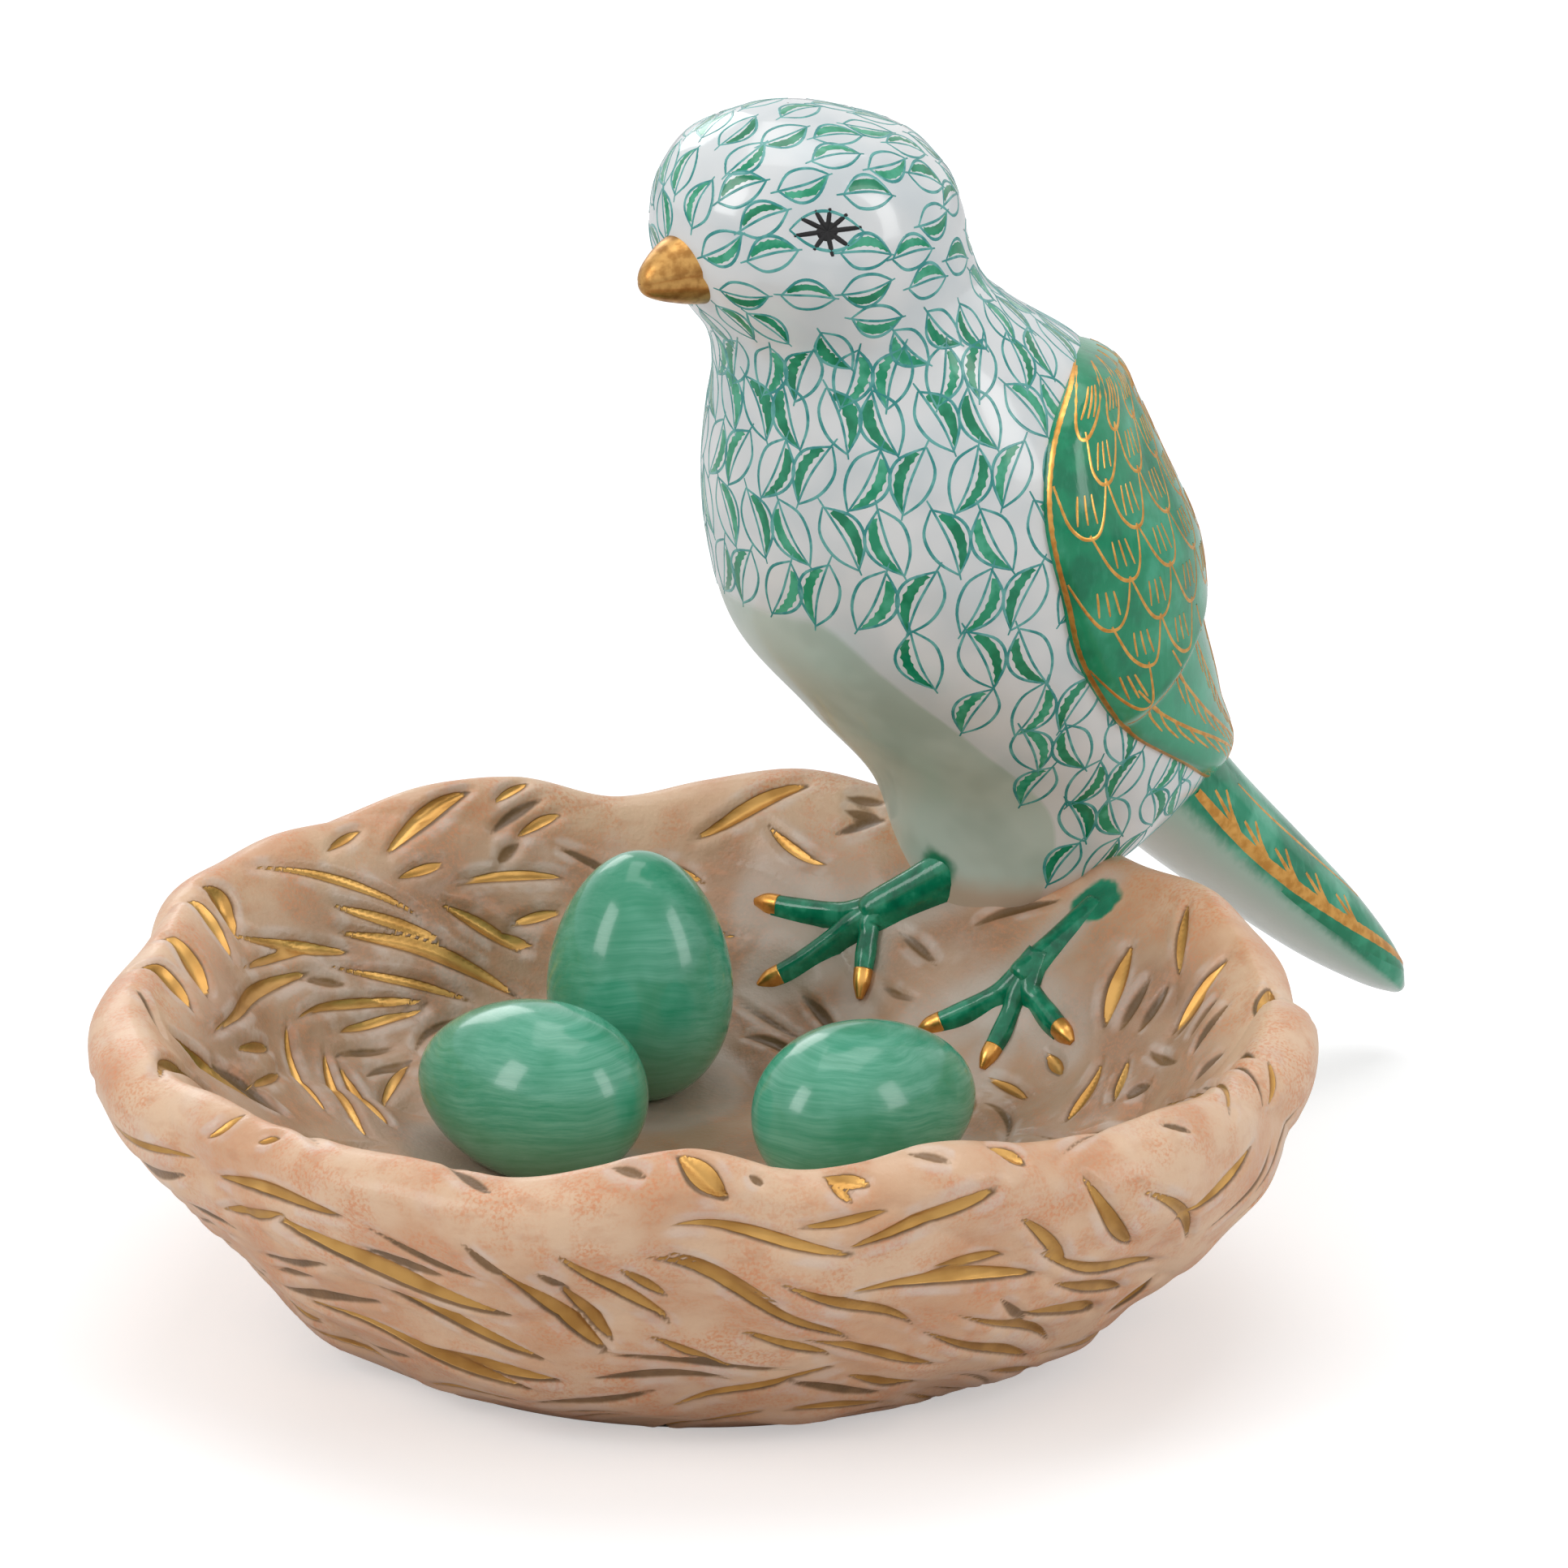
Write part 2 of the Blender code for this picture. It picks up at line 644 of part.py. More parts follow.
def on_the_slope(spot, lift):
    return inner_wall(*spot) + Vector((0.0, 0.0, lift))


def leg(made, top, parting):
    start = bird_point(*top)
    knee = on_the_slope(foot_spot(parting), LEG_RISE)
    radius = LEG_THICKNESS / 2
    path = [start, start.lerp(knee, 0.5), knee, knee + LEG_OVERRUN * (knee - start)]
    tube(made, path, [radius, radius, radius, 0.6 * radius], LEG_ROOT)


def toe(made, parting, tip):
    start, end = foot_spot(parting), foot_spot(tip)
    length = (inner_wall(*end) - inner_wall(*start)).length
    claw = 1.0 - CLAW_LENGTH / length
    radius = TOE_THICKNESS / 2
    path, radii = [], []
    for share, girth in ((0.0, 1.1), (0.4 * claw, 0.9), (0.8 * claw, 0.95), (claw, 1.0),
                         (claw + 0.05, 0.8), (0.5 * (claw + 1.0), 0.75)):
        path.append(on_the_slope(start.lerp(end, share), TOE_RISE))
        radii.append(girth * radius)
    path.append(on_the_slope(end, CLAW_RISE))
    radii.append(CLAW_THICKNESS / 2)
    tube(made, path, radii, TOE_ROOT)


def centre_in_plan(objects):
    """Puts the origin under the middle of the whole figurine's box, at the foot."""
    points = [vert.co for obj in objects for vert in obj.data.vertices]
    low = Vector((min(p.x for p in points), min(p.y for p in points)))
    high = Vector((max(p.x for p in points), max(p.y for p in points)))
    middle = 0.5 * (low + high)
    for obj in objects:
        obj.data.transform(Matrix.Translation((-middle.x, -middle.y, 0.0)))
    build_note(f"the nest's middle is at {-middle.x / MM:.2f}, {-middle.y / MM:.2f} mm")


def main():
    clear_scene()
    whole = object_of(NODE, nest)
    whole.data.materials.append(glaze())
    pieces = [object_of("body", body), object_of("beak", beak), object_of("tail", tail)]
    for side, name in ((1, "left"), (-1, "right")):
        pieces.append(object_of(f"{name}_wing", lambda made, side=side: wing(made, side)))
    for i, (top, parting, tips) in enumerate(FEET):
        pieces.append(object_of(f"leg_{i + 1}", lambda made, top=top, parting=parting: leg(made, top, parting)))
        for j, tip in enumerate(tips):
            name = f"toe_{i + 1}_{j + 1}"
            pieces.append(object_of(name, lambda made, parting=parting, tip=tip: toe(made, parting, tip)))
    for i, spot in enumerate(EGG_SPOTS):
        pieces.append(object_of(f"egg_{i + 1}", lambda made, spot=spot: egg(made, *spot)))
    centre_in_plan([whole, *pieces])
    parts = bpy.data.collections.new("pieces")
    bpy.context.scene.collection.children.link(parts)
    for piece in pieces:
        parts.objects.link(piece)
        bpy.context.scene.collection.objects.unlink(piece)
        piece.hide_render = True
        piece.display_type = "WIRE"
    join = whole.modifiers.new("join", "BOOLEAN")
    join.operation = "UNION"
    join.solver = "EXACT"
    join.operand_type = "COLLECTION"
    join.collection = parts


main()
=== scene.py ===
# %% [markdown]
# # A porcelain bird on the rim of its nest
# The real thing is one piece of hand-painted porcelain: a small bird, a carved nest and three eggs, cast
# and luted together, glazed, painted and gilded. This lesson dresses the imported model, which already has
# the right size and shape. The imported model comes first, because every piece is placed by it.

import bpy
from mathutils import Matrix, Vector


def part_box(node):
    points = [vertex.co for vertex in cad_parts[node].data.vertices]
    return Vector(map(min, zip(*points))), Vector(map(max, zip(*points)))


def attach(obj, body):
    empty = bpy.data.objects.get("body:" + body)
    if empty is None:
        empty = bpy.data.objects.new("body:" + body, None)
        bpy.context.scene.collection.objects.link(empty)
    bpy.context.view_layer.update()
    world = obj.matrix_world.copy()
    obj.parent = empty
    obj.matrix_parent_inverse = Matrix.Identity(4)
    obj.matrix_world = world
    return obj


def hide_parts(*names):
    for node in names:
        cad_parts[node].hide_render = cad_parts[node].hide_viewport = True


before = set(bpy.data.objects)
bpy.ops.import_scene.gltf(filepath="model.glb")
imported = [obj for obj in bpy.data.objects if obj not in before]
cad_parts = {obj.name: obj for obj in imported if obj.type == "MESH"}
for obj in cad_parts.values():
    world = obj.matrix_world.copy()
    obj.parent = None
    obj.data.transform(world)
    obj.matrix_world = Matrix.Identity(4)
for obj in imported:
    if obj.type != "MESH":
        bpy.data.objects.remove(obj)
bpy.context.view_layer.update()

# %% [markdown]
# The shapes below are long lists of points, so numpy works them out. Everything is measured in millimetres
# from the middle of the nest's foot, as a potter would, and is moved into the model's own place at the end.

# %% Measures and moves
import math

import bpy
import numpy as np
from mathutils import Vector
from mathutils.bvhtree import BVHTree

MM = 0.001
low_corner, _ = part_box("bird_in_nest")
NEST_MIDDLE = np.array([low_corner[0] / MM + 45.21, low_corner[1] / MM + 44.71, 0.0])
chance = np.random.default_rng(7)
print("middle of the nest, mm:", NEST_MIDDLE.round(2))


def smooth_step(low, high, value):
    share = np.clip((value - low) / (high - low), 0.0, 1.0)
    return share * share * (3.0 - 2.0 * share)


def along(points, place):
    """Points on a smooth curve through a list of points, or through one list for each place."""
    points = np.asarray(points, dtype=float)
    if points.ndim == 2:
        points = points[:, None, :]
    last = len(points) - 1
    start = np.clip(np.floor(place).astype(int), 0, last - 1)
    column = np.arange(len(place)) if points.shape[1] > 1 else np.zeros(len(place), dtype=int)
    a, b, c, d = (points[np.clip(start + step, 0, last), column] for step in (-1, 0, 1, 2))
    t = (place - start)[:, None]
    return b + 0.5 * t * (c - a + t * (2 * a - 5 * b + 4 * c - d + t * (3 * (b - c) + d - a)))


def unit(vectors):
    return vectors / np.maximum(np.linalg.norm(vectors, axis=-1, keepdims=True), 1e-9)


def turn_between(first, second):
    """Angle from the first to the second by the shorter way round."""
    return (second - first + math.pi) % (2 * math.pi) - math.pi


# %% [markdown]
# Every piece ends as a Blender mesh. A piece that is a sheet of points in rows and columns, such as a skin
# turned round an axis, only needs its four-sided faces counted out. Shading is smooth, because glaze has no
# flat facets. Values that the paint needs, such as how deep a cut is, are kept on the points as attributes.

# %% Mesh helpers
def sheet_faces(rows, columns, closed):
    """Faces between neighbouring rows. A closed sheet joins its last column to its first."""
    across = columns if closed else columns - 1
    i, j = np.meshgrid(np.arange(rows - 1), np.arange(across), indexing="ij")
    k = (j + 1) % columns
    corners = (i * columns + j, i * columns + k, (i + 1) * columns + k, (i + 1) * columns + j)
    return np.stack(corners, axis=-1).reshape(-1, 4)


def round_grid(first, last, rows, columns):
    """Places from first to last and turns round the full circle, for the points of a closed sheet."""
    turns = np.linspace(0.0, 2 * math.pi, columns, endpoint=False)
    return np.meshgrid(np.linspace(first, last, rows), turns, indexing="ij")


def grid_normals(points):
    """Directions straight off a closed sheet at each of its points."""
    round_step = np.roll(points, -1, axis=1) - np.roll(points, 1, axis=1)
    return unit(np.cross(round_step, np.gradient(points, axis=0)))


def piece(name, points, faces, finish, paint=None, normals=None):
    """A piece of the figurine from points in millimetres, with its finish and its painted values."""
    mesh = bpy.data.meshes.new(name)
    points = (np.asarray(points).reshape(-1, 3) + NEST_MIDDLE) * MM
    mesh.from_pydata(points.tolist(), [], np.asarray(faces).tolist())
    for key, values in (paint or {}).items():
        kept = mesh.attributes.new(key, "FLOAT", "POINT")
        kept.data.foreach_set("value", np.ravel(values).astype(np.float32))
    mesh.shade_smooth()
    if normals is not None:
        mesh.normals_split_custom_set_from_vertices(np.asarray(normals).reshape(-1, 3).tolist())
    mesh.materials.append(finish)
    made = bpy.data.objects.new(name, mesh)
    bpy.context.scene.collection.objects.link(made)
    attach(made, "root")
    print(f"{name}: {len(points)} points, {len(mesh.polygons)} faces")
    return made


print("faces of a closed sheet of 3 rows and 4 columns:", len(sheet_faces(3, 4, True)))

# %% [markdown]
# ## Finishes
# A finish is a node tree. Typed node by node it is long and hard to read, so small classes carry it: a
# Socket stands for what comes out of a node and knows arithmetic, a Plan adds nodes to a tree, and a Finish
# is the plan of one material. With them a mask is written as a line of maths, as in 1 - mask.

# %% Shader maths
def colour(red, green, blue):
    """The linear colour that renders as this screen colour, given from 0 to 255."""
    linear = []
    for level in (red, green, blue):
        share = level / 255
        linear.append(share / 12.92 if share <= 0.04045 else ((share + 0.055) / 1.055) ** 2.4)
    return (*linear, 1.0)


class Socket:
    """What comes out of a node. Operators on it add Math nodes."""

    def __init__(self, plan, socket):
        self.plan = plan
        self.socket = socket

    def math(self, operation, first, second=0.0):
        return self.plan.node("ShaderNodeMath", {"operation": operation}, {0: first, 1: second})

    def __add__(self, other):
        return self.math("ADD", self, other)

    def __sub__(self, other):
        return self.math("SUBTRACT", self, other)

    def __rsub__(self, other):
        return self.math("SUBTRACT", other, self)

    def __mul__(self, other):
        return self.math("MULTIPLY", self, other)

    __radd__ = __add__
    __rmul__ = __mul__

    def within(self, low, high):
        """0 below low, 1 above high, and smooth between them."""
        settings = {"interpolation_type": "SMOOTHSTEP"}
        return self.plan.node("ShaderNodeMapRange", settings, {0: self, 1: low, 2: high, 3: 0.0, 4: 1.0})


class Plan:
    """The nodes of one material or of the room round the figurine."""

    def __init__(self, tree):
        self.tree = tree

    def node(self, kind, settings=None, sockets=None, out=0):
        made = self.tree.nodes.new(kind)
        for key, setting in (settings or {}).items():
            setattr(made, key, setting)
        for key, given in (sockets or {}).items():
            self.connect(given, made.inputs[key])
        return Socket(self, made.outputs[out])

    def connect(self, given, target):
        if isinstance(given, Socket):
            self.tree.links.new(given.socket, target)
        else:
            target.default_value = given

    def mix(self, share, first, second):
        """The first colour where the share is 0, the second where it is 1."""
        return self.node("ShaderNodeMix", {"data_type": "RGBA"}, {0: share, 6: first, 7: second}, out=2)


class Finish(Plan):
    """One material, with the patterns that the finishes of this figurine are made of."""

    def __init__(self, name, **levels):
        self.material = bpy.data.materials.new(name)
        self.material.use_nodes = True
        super().__init__(self.material.node_tree)
        self.shader = self.tree.nodes["Principled BSDF"]
        for key, level in levels.items():
            self.shader.inputs[key.replace("_", " ").title().replace("Ior", "IOR")].default_value = level

    def painted(self, name):
        """A value kept on the piece's own points."""
        return self.node("ShaderNodeAttribute", {"attribute_name": name}, out=2)

    def place(self, stretch=(1.0, 1.0, 1.0)):
        """Where a point is on the figurine, stretched to draw a pattern out in one direction."""
        where = self.node("ShaderNodeTexCoord", out=3)
        return self.node("ShaderNodeMapping", {}, {0: where, 3: stretch})

    def noise(self, grain, detail=2.0, where=None):
        """Cloudy noise whose patches are about as many millimetres wide as the grain says."""
        sockets = {"Vector": where or self.place(), "Scale": 1.0 / (grain * MM), "Detail": detail}
        return self.node("ShaderNodeTexNoise", {}, sockets)

    def bump(self, height, depth):
        """Bumps whose full height is the depth in millimetres."""
        sockets = {"Height": height, "Distance": depth * MM, "Strength": 1.0}
        return self.node("ShaderNodeBump", {}, sockets)

    def done(self, **links):
        for key, given in links.items():
            self.connect(given, self.shader.inputs[key.replace("_", " ").title()])
        return self.material


print("classes for node trees:", [made.__name__ for made in (Socket, Plan, Finish)])

# %% [markdown]
# ## Camera, floor and light
# The photograph looks down on the figurine by about seventeen degrees through a long lens. The object
# stands on white paper between two soft boxes, whose long highlights show on the eggs. A large lamp above
# and a weaker one behind fill in. The paper is white for the camera only, so the object is lit at a plain
# level and keeps its soft shadow.

# %% Camera
TILT = math.radians(17.5)
DISTANCE = 700.0
AIM = np.array([6.05, 0.0, 40.9])


def scene_point(point):
    return Vector(((point + NEST_MIDDLE) * MM).tolist())


camera = bpy.data.objects.new("camera", bpy.data.cameras.new("camera"))
bpy.context.scene.collection.objects.link(camera)
camera.data.lens = 215.6
camera.data.sensor_width = 36.0
camera.data.clip_start = 0.01
camera.location = scene_point(AIM + DISTANCE * np.array([0.0, -math.cos(TILT), math.sin(TILT)]))
camera.rotation_euler = (math.pi / 2 - TILT, 0.0, 0.0)
bpy.context.scene.camera = camera
bpy.context.scene.view_settings.view_transform = "Standard"
print("camera at", [round(x, 3) for x in camera.location])

# %% Lamps
LAMPS = (
    # place, width and height in millimetres, power in watts
    ("left box", (-560.0, -330.0, 420.0), (260.0, 420.0), 1.7),
    ("right box", (600.0, -260.0, 330.0), (220.0, 420.0), 1.1),
    ("top box", (40.0, 120.0, 700.0), (520.0, 520.0), 1.5),
    ("back box", (-260.0, 640.0, 380.0), (300.0, 300.0), 0.7),
)
for name, spot, size, power in LAMPS:
    lamp = bpy.data.objects.new(name, bpy.data.lights.new(name, "AREA"))
    bpy.context.scene.collection.objects.link(lamp)
    lamp.data.shape = "RECTANGLE"
    lamp.data.size, lamp.data.size_y = size[0] * MM, size[1] * MM
    lamp.data.energy = power
    lamp.location = scene_point(np.array(spot))
    aim = scene_point(np.array([5.0, 0.0, 40.0])) - lamp.location
    lamp.rotation_euler = aim.to_track_quat("-Z", "Y").to_euler()
print(len(LAMPS), "lamps")

# %% [markdown]
# The picture's background is pure white, but a white floor that glows would light the nest from below. So
# the paper glows only for rays that come straight from the camera, and the room is white only for those and
# for rays that were mirrored or let through, while the light that falls on the object stays dim and even.

# %% Paper and room
paper = Finish("paper", base_color=(0.82, 0.82, 0.82, 1.0), roughness=0.9, specular_ior_level=0.0,
               emission_strength=1.0)
glow = paper.mix(paper.node("ShaderNodeLightPath"), (0.0, 0.0, 0.0, 1.0), (0.42, 0.42, 0.42, 1.0))
FLOOR_HALF, FLOOR_DROP = 4000.0 * MM, -0.02 * MM
corners = [(x * FLOOR_HALF, y * FLOOR_HALF, FLOOR_DROP) for x, y in ((-1, -1), (1, -1), (1, 1), (-1, 1))]
floor_mesh = bpy.data.meshes.new("floor")
floor_mesh.from_pydata(corners, [], [(0, 1, 2, 3)])
floor_mesh.materials.append(paper.done(Emission_Color=glow))
floor = bpy.data.objects.new("floor", floor_mesh)
bpy.context.scene.collection.objects.link(floor)

world = bpy.data.worlds.new("room")
bpy.context.scene.world = world
world.use_nodes = True
room = Plan(world.node_tree)
seen = room.node("ShaderNodeLightPath", out="Is Camera Ray")
for ray in ("Is Glossy Ray", "Is Transmission Ray"):
    seen = seen.math("MAXIMUM", seen, room.node("ShaderNodeLightPath", out=ray))
dim, white = (0.42, 0.42, 0.43, 1.0), (1.0, 1.0, 1.0, 1.0)
room.connect(room.mix(seen, dim, white), world.node_tree.nodes["Background"].inputs["Color"])
print("paper floor and white room:", len(world.node_tree.nodes), "nodes in the room")

# %% [markdown]
# ## The nest's form
# The nest is a thick-walled bowl. Its section is one curve from the foot up the outside, over the lip and
# down the inside, and it changes a little all the way round, because the wet clay was pushed in and out by
# hand. The same numbers as in the imported model give that curve here, only with far more points on it. Two
# lists hold the rise and the reach of the lip every ten degrees. The rise was chosen from points of the lip
# that were measured in the picture, and the reach by comparing outlines.

# %% The section round the nest
FOOT_RADIUS, RIM_RADIUS, LIP_RADIUS, WALL = 26.8, 45.0, 41.7, 3.6
FLOOR_HEIGHT, FLOOR_RADIUS, RIM_HEIGHT = 8.8, 17.0, 26.0
PERCH_ANGLE, PERCH_INSET, HEADING = math.radians(56.6), 2.9, math.radians(215.0)
RIM_LIFTS = np.array([
    -1.8, -0.9, 0.1, 0.2, -0.2, 0.4, 1.2, 2.2, 2.7, 1.0, 0.5, 2.6,
    3.4, 2.5, 1.4, 1.2, 1.0, 0.1, -0.4, -0.8, -1.3, -1.7, -1.9, -1.7,
    -1.5, -1.6, -0.5, 0.8, -0.5, 0.0, -0.8, -1.1, -0.9, -2.5, -2.9, -2.4,
])
RIM_REACHES = np.array([
    0.2, 0.0, -0.2, 0.0, 0.0, 0.0, 0.0, 0.0, 0.2, -0.4, -0.3, 0.3,
    0.4, 0.5, 0.7, 0.8, 0.2, -0.8, 0.0, 0.7, 0.8, 0.3, 0.0, 0.0,
    0.2, 0.3, -0.2, -0.4, 0.2, 0.3, 0.0, -0.2, 0.2, 0.3, 0.0, -0.2,
])
LIP_PLACE, SECTION_LAST = 7.0, 14.0


def round_rim(offsets, angle):
    """Smooth value at each angle of a list with one entry every ten degrees."""
    tenth = np.degrees(angle) % 360.0 / 10.0
    whole = np.floor(tenth).astype(int)
    near = np.stack([offsets[(whole + step) % 36] for step in (-1, 0, 1, 2)])[:, :, None]
    return along(near, 1.0 + tenth - whole)[:, 0]


def hump(angle, middle, spread):
    return np.exp(-((turn_between(middle, angle) / spread) ** 2))


def nest_section(angle):
    reach = round_rim(RIM_REACHES, angle)
    full = 2.2 * hump(angle, math.radians(-28.0), math.radians(50.0))
    bank = 4.4 * hump(angle, PERCH_ANGLE, math.radians(24.0))
    rim, lip = RIM_RADIUS + reach, LIP_RADIUS + reach
    top = RIM_HEIGHT + round_rim(RIM_LIFTS, angle)
    drop, inner = top - FLOOR_HEIGHT, lip - WALL
    spread, slope = rim - FOOT_RADIUS, lip - WALL - FLOOR_RADIUS
    flat = np.zeros_like(angle)
    rows = (
        (FOOT_RADIUS + flat, flat),
        (FOOT_RADIUS + 0.25 * spread + 0.3 * full, 0.11 * top),
        (FOOT_RADIUS + 0.44 * spread + 0.7 * full, 0.27 * top),
        (FOOT_RADIUS + 0.64 * spread + full, 0.44 * top),
        (FOOT_RADIUS + 0.83 * spread + 0.8 * full, 0.61 * top),
        (rim - 0.6 + 0.4 * full, 0.78 * top),
        (rim, 0.93 * top),
        (lip + 0.6, top),
        (lip - 1.8 - 0.6 * bank, top - 2.2),
        (inner - 0.12 * slope - bank, FLOOR_HEIGHT + 0.56 * drop),
        (inner - 0.28 * slope - bank, FLOOR_HEIGHT + 0.32 * drop),
        (inner - 0.50 * slope - 0.8 * bank, FLOOR_HEIGHT + 0.155 * drop),
        (inner - 0.75 * slope - 0.4 * bank, FLOOR_HEIGHT + 0.055 * drop),
        (FLOOR_RADIUS + flat, FLOOR_HEIGHT + 0.3 + flat),
        (0.6 * FLOOR_RADIUS + flat, FLOOR_HEIGHT + flat),
        (flat, FLOOR_HEIGHT + flat),
    )
    return np.array([[radius, height] for radius, height in rows]).transpose(0, 2, 1)


def nest_surface(angle, place):
    """Points of the smooth nest at angles round it and places along its section."""
    radius, height = along(nest_section(angle), place).T
    return np.stack([radius * np.cos(angle), radius * np.sin(angle), height], axis=-1)


# %% [markdown]
# The carving is laid out on the nest as on a strip of paper: one way is the angle round the nest, the other
# is the length along the section in millimetres. A table turns that length back into a place on the curve.

# %% Length along the section
tried = np.linspace(0.0, SECTION_LAST + 1.0, 601)
sections = [along(nest_section(np.full(tried.shape, a)), tried) for a in np.radians(range(0, 360, 20))]
mean_section = np.mean(sections, axis=0)
steps_along = np.linalg.norm(np.diff(mean_section, axis=0), axis=1)
lengths = np.concatenate([[0.0], np.cumsum(steps_along)])


def place_at(length):
    return np.interp(length, lengths, tried)


def length_at(place):
    return np.interp(place, tried, lengths)


LIP_LENGTH, FLOOR_LENGTH = float(length_at(LIP_PLACE)), float(length_at(13.0))
marks = {"lip": LIP_LENGTH, "floor": FLOOR_LENGTH, "middle": float(lengths[-1])}
print("along the section, mm:", {mark: round(length, 1) for mark, length in marks.items()})

# %% [markdown]
# ## Carving
# Each straw of the nest is a leaf-shaped nick, made with one push and turn of a wooden tool: it starts
# thin, has one steep side, throws up a small burr and runs out to a point. Modelling hundreds of nicks as
# separate cutters would be slow, and a bump map would stay flat at the rim. So the nest gets a dense grid,
# and every nick is pressed into the grid's heights. The grid also remembers how deep the cut is and where
# gold goes.

# %% The grid
COLUMNS = 800
ROW_STEP = 0.36
outer_rows = np.arange(0.0, LIP_LENGTH + 3.0, ROW_STEP)
inner_rows = np.arange(outer_rows[-1] + ROW_STEP, FLOOR_LENGTH + 1.0, ROW_STEP)
floor_rows = np.linspace(inner_rows[-1] + ROW_STEP, lengths[-1] - 0.4, 26)
row_lengths = np.concatenate([outer_rows, inner_rows, floor_rows])
angles = np.linspace(0.0, 2 * math.pi, COLUMNS, endpoint=False)
grid_angle, grid_length = np.meshgrid(angles, row_lengths)
base = nest_surface(grid_angle.ravel(), place_at(grid_length.ravel())).reshape(*grid_angle.shape, 3)
base_normal = grid_normals(base)
mean_radius = np.hypot(base[..., 0], base[..., 1]).mean(axis=1)
relief = np.zeros(grid_angle.shape)
cut_depth = np.zeros(grid_angle.shape)
burr = np.zeros(grid_angle.shape)
gold_reach = np.full(grid_angle.shape, -1.0)
stain_and_shade_reach = np.full(grid_angle.shape, -1.0)
print("nest grid:", grid_angle.shape)


def radius_at(length):
    """The nest's mean radius at a length up its section."""
    return float(np.interp(length, row_lengths, mean_radius))


# %% [markdown]
# Before the nicks come the soft forms: the wall is built from fat rolls of clay that lean round the nest,
# with shallow valleys between them. Waves that cross at different angles give that, as long as each closes
# on itself after one turn.

# %% Rolls of clay
fade_low = smooth_step(0.0, 5.0, grid_length)
fade_floor = 1.0 - smooth_step(FLOOR_LENGTH - 8.0, FLOOR_LENGTH, grid_length)
lean = 0.9 * np.sin(2 * grid_angle + 0.4) + 0.5 * np.sin(5 * grid_angle)
rolls = 0.62 * np.sqrt(np.abs(np.sin(3.5 * grid_angle + 0.17 * grid_length + lean)) + 0.02) - 0.4
waves = 0.20 * np.sin(11 * grid_angle - 0.30 * grid_length + 2.0 * lean)
waves += 0.14 * np.sin(6 * grid_angle + 0.62 * grid_length + 1.3)
waves += 0.10 * np.sin(23 * grid_angle + 0.45 * grid_length + lean)
lumps = np.sin(7 * grid_angle + 1.2 + 0.25 * grid_length) + 0.6 * np.sin(12 * grid_angle - 0.3 * grid_length)
lumps *= 0.42 * np.exp(-(((grid_length - LIP_LENGTH + 5.0) / 6.5) ** 2))
relief += (rolls + waves + lumps) * fade_low * fade_floor
print("rolls of clay from", relief.min().round(2), "to", relief.max().round(2), "mm")

# %% [markdown]
# One nick is a leaf on the flat pattern. Across it the depth falls slowly from one side and rises steeply
# to the other, which is how a turned tool leaves the clay. The burr is a low ridge just outside the edge.
# Gold is laid in the wide part only. Its edge is kept as a distance, so that it can be drawn sharper than
# the grid.

# %% Pressing one nick
BURR_HEIGHT, TAIL = 0.13, 1.35


def press_nick(angle, length, heading, long, wide, bend, gilded, deep):
    radius = radius_at(length)
    reach = 0.5 * TAIL * long + wide + 1.2
    off = turn_between(angle, angles)
    rows = np.flatnonzero(np.abs(row_lengths - length) < reach)
    window = np.ix_(rows, np.flatnonzero(np.abs(off) * radius < reach))
    x = off[window[1]] * radius
    y = (row_lengths[rows] - length)[:, None]
    ahead = x * math.cos(heading) + y * math.sin(heading)
    aside = y * math.cos(heading) - x * math.sin(heading)
    share = np.clip(2.0 * ahead / (TAIL * long), -1.0, 1.0)
    aside = aside - bend * (1.0 - 2.0 * share**2)
    leaf = (1.0 - share**2) ** 1.5 * (1.0 + 0.3 * share)
    half = 0.5 * wide * leaf
    end = smooth_step(0.0, 0.3, leaf)
    trough = smooth_step(-half - 0.15, 0.2 * half, aside)
    trough *= 1.0 - smooth_step(0.35 * half, half + 0.25, aside)
    cut_depth[window] = np.maximum(cut_depth[window], deep * end * trough)
    edge = np.exp(-(((np.abs(aside) - half - 0.45) / 0.45) ** 2)) * end
    burr[window] = np.maximum(burr[window], edge)
    # How far the brown of the nick reaches: stain in the cut and painted shade.
    stain_and_shade_reach[window] = np.maximum(stain_and_shade_reach[window], half - np.abs(aside) - 0.4 * (1.0 - end))
    if gilded:
        inside = np.minimum(0.8 * half - np.abs(aside - 0.05 * wide), 0.25 * (0.5 * long - np.abs(ahead)))
        gold_reach[window] = np.maximum(gold_reach[window], inside)


print("a nick of 10 mm runs out over", 10.0 * TAIL, "mm")

# %% [markdown]
# The nicks that the photograph shows were read off it one by one: the pixels of both ends and the width,
# then the bend in millimetres and whether the nick is gilded. The camera here stands where the photographer
# stood, so the ray through each end meets the nest at the place of that end. Angles and lengths could be
# typed instead, but nobody could check those against the picture.

# %% Rays through the photograph
PHOTO_WIDTH = 1932.0
coarse = base[::2, ::4]
coarse_faces = sheet_faces(*coarse.shape[:2], True)
nest_tree = BVHTree.FromPolygons(coarse.reshape(-1, 3).tolist(), coarse_faces.tolist())


